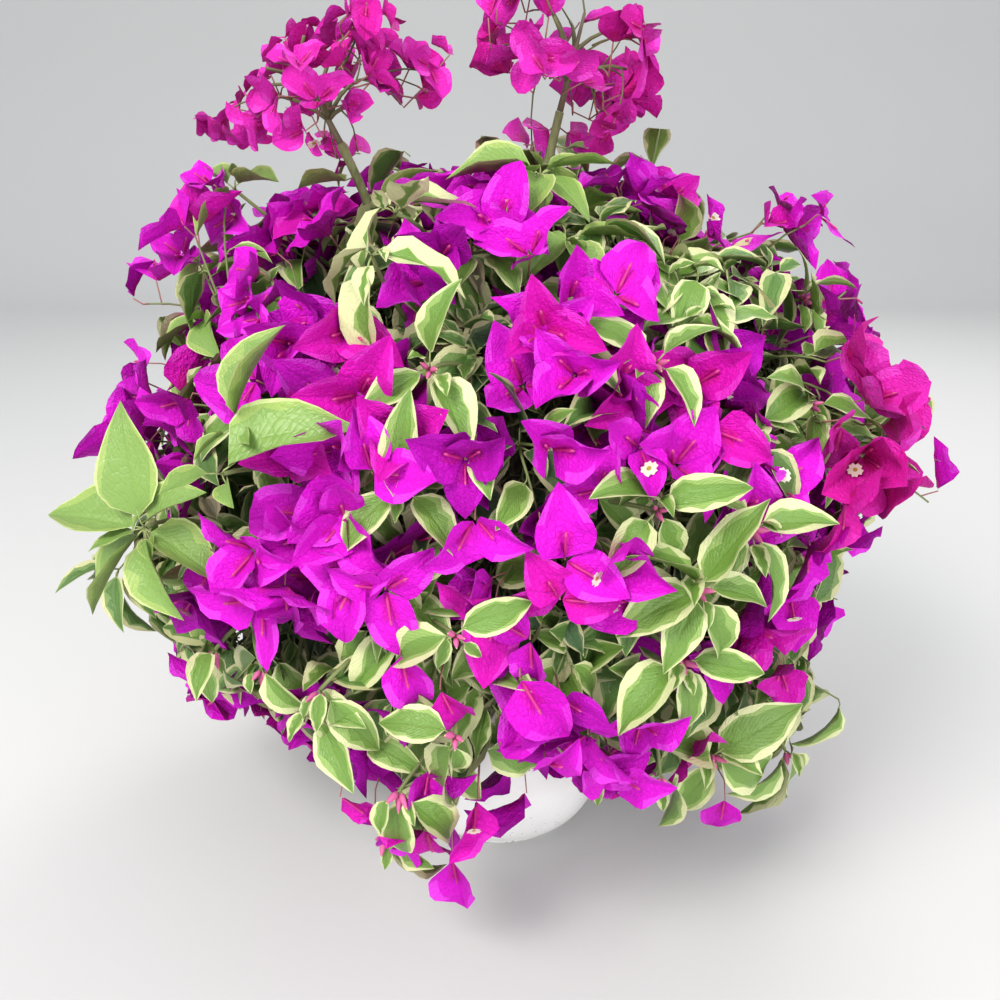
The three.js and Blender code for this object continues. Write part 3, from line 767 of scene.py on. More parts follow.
@dataclass(frozen=True)
class Rosette:
    """A large whorl of leaves that stands out of the crown's front, placed in its view.

    Its first leaf can point a given way in the picture, in degrees clockwise from the top.
    """

    tip: Tip
    x: float
    y: float
    share: float
    leaves: int
    length: float
    lean: float
    droop: float = 0.0
    first: float | None = None


ROSETTES = tuple(Rosette(tip, *place) for tip, places in (
    (Tip.LIME, (
        (146, 528, 1.05, 6, 0.062, 84, 0.0, -8), (236, 428, 1.05, 1, 0.05, 86, 0.0, 18),
        (222, 474, 1.06, 1, 0.066, 86, 0.0, 52), (540, 176, 1.0, 5, 0.05, 76, -0.5, 278),
        (235, 190, 0.95, 3, 0.038, 70), (205, 320, 0.93, 3, 0.042, 64),
    )),
    (Tip.LEAVES, (
        (697, 590, 0.98, 6, 0.054, 72, 0.0, 20), (455, 735, 0.96, 6, 0.06, 72, 0.0, 262),
        (710, 755, 0.97, 5, 0.064, 74, 0.0, 115), (800, 300, 0.94, 6, 0.038, 58),
        (655, 510, 0.95, 4, 0.044, 62), (750, 530, 0.97, 4, 0.048, 60), (455, 635, 0.94, 3, 0.044, 56),
    )),
    (Tip.PALE, (
        (396, 214, 1.02, 4, 0.054, 34, -2.6, 30), (372, 256, 1.04, 3, 0.054, 74, 0.4, 192),
    )),
    (Tip.LEAVES, (
        (430, 370, 0.92, 3, 0.044, 62), (385, 835, 0.95, 4, 0.048, 60), (808, 405, 0.95, 3, 0.046, 60),
        (215, 650, 0.95, 5, 0.04, 40, 1.2), (262, 668, 0.95, 4, 0.04, 36, 1.2),
        (320, 690, 0.95, 4, 0.046, 46, 0.8), (660, 775, 0.98, 3, 0.052, 40, 1.0),
        (785, 750, 0.98, 3, 0.054, 56, 0.7), (400, 790, 0.97, 4, 0.048, 54, 0.6),
        (680, 660, 0.95, 4, 0.05, 60), (655, 365, 0.94, 4, 0.04, 60), (405, 490, 0.9, 3, 0.044, 60),
    )),
) for place in places)


@dataclass(frozen=True)
class Bloom:
    """A cluster of bracts that stands out of the front, placed in its view."""

    x: float
    y: float
    droop: float
    length: float = 0.043
    share: float = 0.93
    tip: Tip = Tip.BLOSSOM
    opened: bool = False


BLOOMS = tuple(Bloom(*place, tip=tip, opened=opened) for tip, opened, places in (
    (Tip.BLOSSOM, True, (
        (565, 560, 0.1), (640, 600, 0.2, 0.041), (745, 625, 0.3, 0.041), (790, 590, 0.3, 0.04),
        (588, 735, 0.3), (478, 800, 0.5, 0.041), (285, 585, 0.9), (200, 590, 0.9), (708, 235, 0.0, 0.034),
        (695, 385, 0.1, 0.038), (360, 395, 0.1, 0.04), (775, 485, 0.1, 0.038),
    )),
    (Tip.BLOSSOM, False, (
        (345, 520, 0.4, 0.04), (385, 590, 0.9, 0.04), (375, 810, 0.8, 0.038), (725, 800, 0.8),
        (452, 862, 1.8, 0.046), (400, 655, 0.3), (675, 465, -0.6), (745, 510, 0.1, 0.04),
        (550, 450, 0.1, 0.04), (475, 520, 0.5, 0.036), (640, 200, 0.0, 0.034), (820, 215, 0.1, 0.034),
        (440, 258, 0.0, 0.036), (570, 300, 0.0, 0.036), (345, 450, 0.5, 0.038), (520, 680, 0.3),
        (235, 215, 0.1, 0.034), (575, 375, 0.0, 0.038), (350, 330, 0.0, 0.038), (500, 225, -0.3, 0.04),
        (690, 740, 0.5, 0.036), (330, 235, 0.0, 0.036), (290, 345, 0.1, 0.038), (182, 255, 0.2, 0.034),
        (212, 185, 0.1, 0.034), (190, 400, 0.3, 0.036), (612, 775, 0.6, 0.038), (640, 725, 0.4, 0.038),
        (545, 765, 0.6, 0.04), (430, 770, 0.7, 0.036), (500, 745, 0.4, 0.038), (780, 665, 0.4, 0.04),
        (765, 225, 0.2, 0.034), (830, 300, 0.1, 0.038), (810, 545, 0.3, 0.04), (530, 640, 0.3, 0.04),
    )),
    (Tip.ROSE, True, (
        (862, 455, 0.3, 0.044, 1.03),
    )),
    (Tip.ROSE, False, (
        (902, 405, 0.3, 0.042, 1.0), (866, 402, 0.1, 0.044, 1.04), (895, 445, 0.4, 0.044, 1.0),
        (872, 495, 0.7, 0.044, 1.02), (846, 358, 0.1, 0.042, 1.03), (882, 428, 0.2, 0.044, 1.04),
        (846, 500, 0.5, 0.042, 1.03), (842, 425, 0.2, 0.04, 1.03), (878, 372, 0.1, 0.04, 1.0),
    )),
    (Tip.BLOSSOM, False, (
        (470, 225, -0.3, 0.034), (530, 255, -0.2, 0.036), (545, 330, 0.0, 0.036), (670, 200, -0.2, 0.034),
        (300, 455, 0.2, 0.036), (255, 550, 0.6, 0.038), (215, 560, 0.7, 0.036), (465, 460, 0.2, 0.036),
        (610, 560, 0.2, 0.038), (560, 600, 0.3, 0.04), (440, 690, 0.4, 0.038), (560, 700, 0.3, 0.04),
        (540, 520, 0.2, 0.036), (600, 490, 0.1, 0.036),
    )),
) for place in places)


# Materials.


class Surface:
    """A node material being put together."""

    def __init__(self, name: str, colour: Colour, roughness: float) -> None:
        """Starts a material.

        Args:
            name: Its name.
            colour: Its plain colour.
            roughness: How matt it is.
        """
        self.material = bpy.data.materials.new(name)
        self.material.use_nodes = True
        self.tree = self.material.node_tree
        self.shader = self.tree.nodes["Principled BSDF"]
        self.set("Base Color", (*colour, 1.0))
        self.set("Roughness", roughness)

    def set(self, socket: str, value: float | Sequence[float]) -> None:
        """Sets a value on one of the shader's own sockets."""
        self.shader.inputs[socket].default_value = value

    def node(
        self, kind: str, inputs: dict[str | int, object] | None = None, **settings: object,
    ) -> bpy.types.Node:
        """Adds a node.

        Args:
            kind: Blender's name for the kind of node.
            inputs: What its inputs take: other nodes' outputs, or values.
            settings: Its properties.

        Returns:
            The node.
        """
        made = self.tree.nodes.new(kind)
        for key, value in settings.items():
            setattr(made, key, value)
        for key, value in (inputs or {}).items():
            if isinstance(value, Socket):
                self.tree.links.new(value, made.inputs[key])
            else:
                made.inputs[key].default_value = value
        return made

    @property
    def place(self) -> Socket:
        """Where a point is, in metres of the object."""
        return self.node("ShaderNodeTexCoord").outputs["Object"]

    def noise(self, at: Socket, scale: float, detail: float, roughness: float = 0.5) -> Socket:
        """Adds a noise texture and gives its height."""
        inputs = {"Vector": at, "Scale": scale, "Detail": detail, "Roughness": roughness}
        return self.node("ShaderNodeTexNoise", inputs).outputs["Fac"]

    def stretched(self, at: Socket, scale: Place) -> Socket:
        """Stretches a texture's place."""
        return self.node("ShaderNodeMapping", {"Vector": at, "Scale": scale}).outputs[0]

    def math(self, operation: str, *values: object) -> Socket:
        """Adds a math node and gives its output."""
        return self.node("ShaderNodeMath", dict(enumerate(values)), operation=operation).outputs[0]

    def bump(self, height: Socket, strength: float, distance: float) -> None:
        """Raises the surface.

        Args:
            height: The height that it follows.
            strength: How strongly it does, from 0 to 1.
            distance: How far a height of 1 stands out, in metres.
        """
        inputs = {"Height": height, "Strength": strength, "Distance": distance}
        raised = self.node("ShaderNodeBump", inputs).outputs["Normal"]
        self.tree.links.new(raised, self.shader.inputs["Normal"])

    def paint(self, factor: Socket, stops: Sequence[tuple[float, Colour]]) -> None:
        """Colours the surface by a number.

        Args:
            factor: The number.
            stops: The numbers that have a colour of their own, with their colours.
        """
        made = self.node("ShaderNodeValToRGB", {"Fac": factor})
        elements = made.color_ramp.elements
        while len(elements) < len(stops):
            elements.new(1.0)
        for element, (place, colour) in zip(elements, stops):
            element.position = place
            element.color = (*colour, 1.0)
        self.tree.links.new(made.outputs["Color"], self.shader.inputs["Base Color"])


@dataclass(frozen=True)
class Finish:
    """A plain matt colour, which other finishes work on."""

    name: str
    colour: Colour
    roughness: float = 0.9

    def material(self) -> Material:
        """Builds the finish as a node material.

        Returns:
            The material.
        """
        surface = Surface(self.name, self.colour, self.roughness)
        self.work(surface)
        return surface.material

    def work(self, surface: Surface) -> None:
        """Works on the plain colour, which here stays plain."""


@dataclass(frozen=True)
class LeafFinish(Finish):
    """A satin leaf: a plain tint with a rib, side veins, a net and crinkles on a blade's own map."""

    roughness: float = 0.42
    side_veins: float = 7
    vein_slant: float = 0.9
    net: float = 0.3
    crinkle: float = 1.5
    height: float = 0.0008
    sheen: float = 0.0
    specular: float = 0.45

    def work(self, surface: Surface) -> None:
        """Raises the rib, veins, net and crinkles.

        Args:
            surface: The material being put together.
        """
        calc = surface.math
        surface.set("Sheen Weight", self.sheen)
        surface.set("Sheen Tint", (*(min(1.0, c * 1.2 + 0.25) for c in self.colour), 1.0))
        surface.set("Specular IOR Level", self.specular)
        uv = surface.node("ShaderNodeUVMap", uv_map="BladeMap").outputs["UV"]
        parts = surface.node("ShaderNodeSeparateXYZ", {"Vector": uv}).outputs
        away = calc("ABSOLUTE", calc("SUBTRACT", parts["X"], 0.5))
        slanted = calc("SUBTRACT", parts["Y"], calc("MULTIPLY", away, self.vein_slant))
        wave = calc("SINE", calc("MULTIPLY", slanted, self.side_veins * 2 * math.pi))
        veins = calc("MULTIPLY", calc("POWER", calc("ABSOLUTE", wave), 0.4), 0.35)
        rib = calc("MINIMUM", calc("MULTIPLY", away, 14.0), 1.0)
        drawn = surface.stretched(uv, (1.0, 1.5, 1.0))
        cells = surface.node(
            "ShaderNodeTexVoronoi", {"Vector": drawn, "Scale": 9.0}, feature="DISTANCE_TO_EDGE",
        ).outputs["Distance"]
        net = calc("MINIMUM", calc("MULTIPLY", cells, 7.0), 1.0)
        height = calc("MULTIPLY_ADD", net, self.net, calc("ADD", veins, rib))
        height = calc("MULTIPLY_ADD", surface.noise(uv, 6.0, 3.0), self.crinkle, height)
        surface.bump(height, 0.6, self.height)


@dataclass(frozen=True)
class BractFinish(LeafFinish):
    """A papery bract: matter, with fewer side veins, a stronger net and deeper crinkles."""

    roughness: float = 0.58
    side_veins: float = 5
    vein_slant: float = 1.3
    net: float = 0.6
    crinkle: float = 2.8
    height: float = 0.0011
    sheen: float = 0.04
    specular: float = 0.14


@dataclass(frozen=True)
class BloomFinish(Finish):
    """A plain tint with a fine grain, for the small parts of blossom."""

    roughness: float = 0.6
    grain: float = 900

    def work(self, surface: Surface) -> None:
        """Raises the grain."""
        surface.bump(surface.noise(surface.place, self.grain, 3.0), 0.4, 0.0004)


@dataclass(frozen=True)
class WoodFinish(BloomFinish):
    """The coarser grain of thin wood and stalks."""

    roughness: float = 0.7
    grain: float = 500


@dataclass(frozen=True)
class BarkFinish(Finish):
    """Bark: two browns and lichen that follow its relief, with fissures and fine grain."""

    name: str = "bark"
    colour: Colour = (0.2, 0.155, 0.105)
    roughness: float = 0.85
    dark: Colour = (0.06, 0.042, 0.028)
    lichen: Colour = (0.33, 0.29, 0.21)
    scale: float = 420
    height: float = 0.0012

    def work(self, surface: Surface) -> None:
        """Colours and raises the fissures.

        Args:
            surface: The material being put together.
        """
        place = surface.place
        fissures = surface.noise(surface.stretched(place, (1.0, 1.0, 0.28)), self.scale, 8.0, 0.65)
        blotches = surface.noise(place, 60.0, 3.0)
        mixed = surface.math("MULTIPLY_ADD", blotches, 0.35, surface.math("MULTIPLY", fissures, 0.75))
        surface.paint(mixed, ((0.36, self.dark), (0.52, self.colour), (0.72, self.lichen)))
        surface.bump(fissures, 0.8, self.height)


@dataclass(frozen=True)
class GreenBarkFinish(BarkFinish):
    """The smoother green bark of the tall canes."""

    name: str = "green_bark"
    colour: Colour = (0.165, 0.185, 0.07)
    dark: Colour = (0.085, 0.075, 0.03)
    lichen: Colour = (0.24, 0.23, 0.12)
    scale: float = 300
    height: float = 0.0005


@dataclass(frozen=True)
class PotFinish(Finish):
    """Smooth white moulded plastic, faintly mottled, with water marks and splashes low down."""

    name: str = "pot_white"
    colour: Colour = (0.89, 0.885, 0.87)
    roughness: float = 0.34
    worn: Colour = (0.79, 0.78, 0.745)
    splash: Colour = (0.42, 0.36, 0.28)
    splash_top: float = 0.045

    def work(self, surface: Surface) -> None:
        """Coats the plastic, and marks it low down.

        Args:
            surface: The material being put together.
        """
        calc, place = surface.math, surface.place
        surface.set("Coat Weight", 0.15)
        surface.set("Coat Roughness", 0.2)
        mottle = surface.noise(place, 28.0, 5.0)
        height = surface.node("ShaderNodeSeparateXYZ", {"Vector": place}).outputs["Z"]
        low = calc("SUBTRACT", 1.0, calc("DIVIDE", height, self.splash_top))
        specks = surface.noise(place, 420.0, 2.0)
        spots = calc("GREATER_THAN", calc("MULTIPLY_ADD", low, 0.1, specks), 0.74)
        shade = calc("MAXIMUM", calc("MULTIPLY_ADD", mottle, 0.9, -0.1), spots)
        surface.paint(shade, ((0.3, self.colour), (0.7, self.worn), (1.0, self.splash)))
        surface.bump(mottle, 0.12, 0.0006)


@dataclass(frozen=True)
class SoilFinish(Finish):
    """Moist potting soil: dark crumbs with paler grit."""

    name: str = "soil_crumbs"
    colour: Colour = (0.075, 0.048, 0.03)
    roughness: float = 0.95
    dark: Colour = (0.022, 0.014, 0.009)
    grit: Colour = (0.3, 0.25, 0.19)

    def work(self, surface: Surface) -> None:
        """Colours and raises the crumbs.

        Args:
            surface: The material being put together.
        """
        crumbs = surface.noise(surface.place, 190.0, 6.0)
        surface.paint(crumbs, ((0.35, self.dark), (0.62, self.colour), (0.8, self.grit)))
        surface.bump(crumbs, 1.0, 0.002)


class Tint(enum.Enum):
    """A set of tints, whose values are the colours of their zones."""

    def __init__(self, *colours: Colour) -> None:
        """Notes the number of the tint's first material, after those of the tints before it."""
        self.zone = len(type(self).__members__) * len(colours)


class LeafTint(Tint):
    """The tints of leaves, each with a heart, a softer green and a margin."""

    # A lighter, yellower copy of the greens and cream for the crown's outside and the front whorls: partly
    # fresh growth, partly painted light.
    FRESH_AND_LIT = (0.14, 0.262, 0.042), (0.25, 0.38, 0.095), (0.62, 0.645, 0.335)
    FULL = (0.085, 0.18, 0.035), (0.172, 0.282, 0.076), (0.56, 0.56, 0.285)
    # A darker copy of the greens and cream for leaves deep inside the crown: painted shade.
    SHADE = (0.042, 0.098, 0.03), (0.095, 0.15, 0.058), (0.42, 0.4, 0.21)
    LIME = (0.195, 0.322, 0.072), (0.28, 0.395, 0.095), (0.48, 0.56, 0.22)
    DRY = (0.15, 0.135, 0.08), (0.24, 0.205, 0.125), (0.42, 0.35, 0.21)


class BractTint(Tint):
    """The tints of bracts, each with a blade, a lighter fold that is a painted highlight and a redder
    throat; the deep tint is partly painted shade inside the crown.
    """

    # Each tint's middle colour is the painted highlight of the lighter patch on the bract's fold.
    BRIGHT = (0.62, 0.006, 0.54), (0.7, 0.04, 0.66), (0.6, 0.006, 0.42)
    FULL = (0.55, 0.003, 0.46), (0.62, 0.02, 0.55), (0.52, 0.003, 0.36)
    # A darker copy of the magenta: painted shade for clusters inside the crown, and a darker tone here and
    # there outside.
    DEEP_AND_SHADE = (0.4, 0.001, 0.36), (0.46, 0.004, 0.43), (0.38, 0.002, 0.26)
    MAGENTA = (0.59, 0.004, 0.38), (0.66, 0.024, 0.48), (0.54, 0.004, 0.27)
    ROSE = (0.58, 0.008, 0.3), (0.64, 0.018, 0.37), (0.51, 0.006, 0.19)
    PINK = (0.64, 0.02, 0.4), (0.7, 0.05, 0.5), (0.56, 0.012, 0.26)


class BloomPart(Tint):
    """The small parts of a blossom that have a colour of their own."""

    TUBE = ((0.48, 0.012, 0.19),)
    TUBE_TIP = ((0.54, 0.05, 0.22),)
    PETAL = ((0.72, 0.69, 0.54),)
    EYE = ((0.4, 0.29, 0.03),)
    BUD = ((0.62, 0.12, 0.3),)
    BUD_TIP = ((0.56, 0.42, 0.2),)


class WoodPart(Tint):
    """The ages of thin wood, from woody stems to the stalks of leaves and blossom."""

    STEM = ((0.15, 0.12, 0.07),)
    TWIG = ((0.14, 0.14, 0.06),)
    SHOOT = ((0.17, 0.21, 0.07),)
    LEAF_STALK = ((0.3, 0.36, 0.13),)
    BLOSSOM_STALK = ((0.33, 0.13, 0.12),)


def tint_materials(
    kind: str, tints: type[Tint], finish: type[Finish], zones: Sequence[str] = ("",),
) -> list[Material]:
    """Makes the materials of a set of tints.

    Args:
        kind: The start of their names.
        tints: The tints.
        finish: Their finish.
        zones: The ends of the names of each tint's zones.

    Returns:
        The materials, tint by tint and zone by zone.
    """
    return [
        finish(f"{kind}_{tint.name.lower()}{zone}", colour).material()
        for tint in tints
        for zone, colour in zip(zones, tint.value)
    ]


# Meshes from arrays: many small things joined.


@dataclass
class Stamp:
    """A small shape, made once, that is repeated as arrays."""

    corners: Array
    loops: Array
    sizes: Array
    zones: Array
    maps: Array

    @classmethod
    def from_bmesh(cls, bm: BMesh) -> "Stamp":
        """Takes the arrays of a bmesh, and frees it.

        Args:
            bm: The shape.

        Returns:
            Its arrays.
        """
        bm.verts.index_update()
        layer = bm.loops.layers.uv.verify()
        loops = [loop for face in bm.faces for loop in face.loops]
        stamp = cls(
            np.array([v.co[:] for v in bm.verts]),
            np.array([loop.vert.index for loop in loops]),
            np.array([len(face.verts) for face in bm.faces]),
            np.array([face.material_index for face in bm.faces]),
            np.array([loop[layer].uv[:] for loop in loops]),
        )
        bm.free()
        return stamp


def riding(piece: Piece) -> Piece:
    """Puts a piece in the scene, riding on the plant's one body, and reports it.

    Args:
        piece: The piece.

    Returns:
        The same piece.
    """
    bpy.context.scene.collection.objects.link(piece)
    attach(piece, BODY)
    triangles = sum(len(face.vertices) - 2 for face in piece.data.polygons)
    LOG.info("%s: %d triangles", piece.name, triangles)
    return piece


def smooth_object(name: str, bm: BMesh, material: Material) -> Piece:
    """Makes a smooth object from a bmesh, and frees it.

    Args:
        name: The object's name.
        bm: The shape.
        material: Its material.

    Returns:
        The object, which isn't in the scene yet.
    """
    mesh = bpy.data.meshes.new(name)
    for face in bm.faces:
        face.smooth = True
    bm.to_mesh(mesh)
    bm.free()
    mesh.materials.append(material)
    return bpy.data.objects.new(name, mesh)


@dataclass
class JoinedPiece:
    """Small things that are joined into one smooth piece."""

    name: str
    slot: str
    materials: Sequence[Material]

    def _join(
        self, corners: Sequence[Array], loops: Sequence[Array], sizes: Array, zones: Array,
        maps: Array | None = None,
    ) -> Piece:
        """Makes the piece, which rides on the plant.

        Args:
            corners: Where its vertices are, part by part.
            loops: The vertices round each face, part by part.
            sizes: How many vertices each face has.
            zones: The number of each face's material.
            maps: The place of each loop on the blade's own map, if it has one.

        Returns:
            The piece.
        """
        mesh = bpy.data.meshes.new(self.name)
        points, rounds = np.concatenate(corners), np.concatenate(loops)
        mesh.vertices.add(len(points))
        mesh.loops.add(len(rounds))
        mesh.polygons.add(len(sizes))
        mesh.vertices.foreach_set("co", points.astype(np.float32).ravel())
        mesh.loops.foreach_set("vertex_index", rounds.astype(np.int32))
        starts = np.concatenate(([0], np.cumsum(sizes)[:-1]))
        mesh.polygons.foreach_set("loop_start", starts.astype(np.int32))
        mesh.polygons.foreach_set("material_index", np.asarray(zones, np.int32))
        mesh.polygons.foreach_set("use_smooth", np.ones(len(sizes), bool))
        if maps is not None:
            layer = mesh.uv_layers.new(name="BladeMap")
            layer.data.foreach_set("uv", np.asarray(maps, np.float32).ravel())
        for material in self.materials:
            mesh.materials.append(material)
        mesh.update(calc_edges=True)
        piece = riding(bpy.data.objects.new(self.name, mesh))
        return piece


@dataclass
class StampedPiece(JoinedPiece):
    """Copies of small shapes joined into one piece."""

    copies: dict[int, tuple[Stamp, list[Array], list[Array], list[int]]] = field(default_factory=dict)

    def add(self, stamp: Stamp, turn: Array, root: Array, first_zone: int = 0) -> None:
        """Adds a copy of a shape.

        Args:
            stamp: The shape.
            turn: The matrix that turns and sizes it.
            root: Where its origin goes.
            first_zone: What is added to its zones' numbers.
        """
        entry = self.copies.setdefault(id(stamp), (stamp, [], [], []))
        for values, value in zip(entry[1:], (turn, root, first_zone)):
            values.append(value)

    def build(self) -> Piece:
        """Joins the copies into one mesh.

        Returns:
            The piece.
        """
        corners, loops, sizes, zones, maps = [], [], [], [], []
        first = 0
        for stamp, turns, roots, tints in self.copies.values():
            count, per = len(turns), len(stamp.corners)
            placed = np.einsum("kij,nj->kni", np.array(turns), stamp.corners)
            corners.append((placed + np.array(roots)[:, None, :]).reshape(-1, 3))
            offsets = first + per * np.arange(count)
            loops.append((stamp.loops[None, :] + offsets[:, None]).ravel())
            sizes.append(np.tile(stamp.sizes, count))
            zones.append((stamp.zones[None, :] + np.array(tints)[:, None]).ravel())
            maps.append(np.tile(stamp.maps, (count, 1)))
            first += per * count
        return self._join(
            corners, loops, np.concatenate(sizes), np.concatenate(zones), np.concatenate(maps),
        )


@dataclass
class TubedPiece(JoinedPiece):
    """Thin tapering tubes joined into one piece."""

    corners: list[Array] = field(default_factory=list)
    loops: list[Array] = field(default_factory=list)
    sizes: list[int] = field(default_factory=list)
    zones: list[int] = field(default_factory=list)
    count: int = 0

    def add(self, points: Array, radii: Pair, sides: int, part: Tint) -> None:
        """Adds a tube.

        Args:
            points: The points along its middle.
            radii: Its radius at the first point and at the last.
            sides: How many sides it has.
            part: The part that it is, with its colour.
        """
        rings = len(points)
        along = np.gradient(points, axis=0)
        along /= np.maximum(np.linalg.norm(along, axis=1, keepdims=True), 1e-12)
        first = square(along[0], 0.0)
        normals = first - (along @ first)[:, None] * along
        normals /= np.maximum(np.linalg.norm(normals, axis=1, keepdims=True), 1e-9)
        others = np.cross(along, normals)
        turns = np.arange(sides)[None, :, None] * 2 * math.pi / sides
        spokes = normals[:, None, :] * np.cos(turns) + others[:, None, :] * np.sin(turns)
        width = np.linspace(radii[0], radii[1], rings)[:, None, None]
        self.corners.append((points[:, None, :] + spokes * width).reshape(-1, 3))
        ring, side = np.meshgrid(np.arange(rings - 1), np.arange(sides), indexing="ij")
        low, high, after = ring * sides, (ring + 1) * sides, (side + 1) % sides
        quads = np.stack((low + side, low + after, high + after, high + side), axis=-1).reshape(-1)
        ends = np.concatenate((np.arange(sides)[::-1], (rings - 1) * sides + np.arange(sides)))
        self.loops.append(np.concatenate((quads, ends)) + self.count)
        self.sizes += [4] * ((rings - 1) * sides) + [sides, sides]
        self.zones += [part.zone] * ((rings - 1) * sides + 2)
        self.count += rings * sides

    def build(self) -> Piece:
        """Joins the tubes into one mesh."""
        return self._join(self.corners, self.loops, np.array(self.sizes), np.array(self.zones))


# Leaves, bracts and the parts of a flower, made once.


@dataclass(frozen=True)
class BladeShape:
    """The shape of a leaf or bract whose length is 1, with its root at the origin."""

    width: float
    base: float
    tip: float
    fold: float
    cup: float
    curl: float
    wave: float
    waves: float
    twist: float
    crinkle: float
    columns: int = 6
    rows: int = 8

    def half_width(self, v: float) -> float:
        """Gives half the width.

        Args:
            v: The share of the length where it is.

        Returns:
            Half the width there.
        """
        widest = self.base / (self.base + self.tip)
        most = widest**self.base * (1 - widest) ** self.tip
        return self.width / 2 * v**self.base * (1 - v) ** self.tip / most

    def stamp(
        self, stream: SeededStream, zone_of: Callable[[int, float], int],
        edges: Callable[[int, float], Pair],
    ) -> Stamp:
        """Models the blade from a grid whose columns follow the edges of its zones.

        Args:
            stream: What its crinkles are drawn from.
            zone_of: Gives the zone of the face at a column and a share of the length.
            edges: Gives the shares of the half width where a side's inner and outer edges are.

        Returns:
            The shape, ready to be repeated.
        """
        bm = bmesh.new()
        bmesh.ops.create_grid(bm, x_segments=self.columns, y_segments=self.rows, size=1.0)
        layer = bm.loops.layers.uv.verify()
        for face in bm.faces:
            middle = face.calc_center_median()
            column = int((middle.x + 1) / 2 * self.columns)
            face.material_index = zone_of(column, (middle.y + 1) / 2)
        for vert in bm.verts:
            u, v = vert.co.x, (vert.co.y + 1) / 2
            side = int(u > 0)
            inner, outer = edges(side, v)
            place = round(abs(u) * self.columns / 2)
            u = math.copysign((0.0, inner, outer, 1.0)[place], u)
            for loop in vert.link_loops:
                loop[layer].uv = ((u + 1) / 2, v)
            rough = stream.between(-self.crinkle, self.crinkle) if 0 < v < 1 else 0.0
            vert.co = self._place(u, v, rough)
        bmesh.ops.remove_doubles(bm, verts=bm.verts, dist=1e-4)
        return Stamp.from_bmesh(bm)

    def _place(self, u: float, v: float, rough: float) -> Vector:
        """Gives the place of a point of the blade.

        Args:
            u: Its share across, from -1 to 1.
            v: Its share of the length.
            rough: How far it stands out.

        Returns:
            The place.
        """
        x = self.half_width(min(max(v, 0.0), 1.0)) * u
        lift = self.fold * abs(x) + self.cup * x * x / self.width
        phase = 2.1 if u > 0 else 0
        ripple = self.wave * abs(u) ** 1.5 * math.sin(v * self.waves * 2 * math.pi + phase)
        z = lift + ripple * math.sin(math.pi * v) + rough
        turn = self.twist * v
        x, z = x * math.cos(turn) - z * math.sin(turn), x * math.sin(turn) + z * math.cos(turn)
        bend = self.curl * v
        along = math.sin(bend) / self.curl
        fall = (1 - math.cos(bend)) / self.curl
        return Vector((x, along + z * math.sin(bend), z * math.cos(bend) - fall))


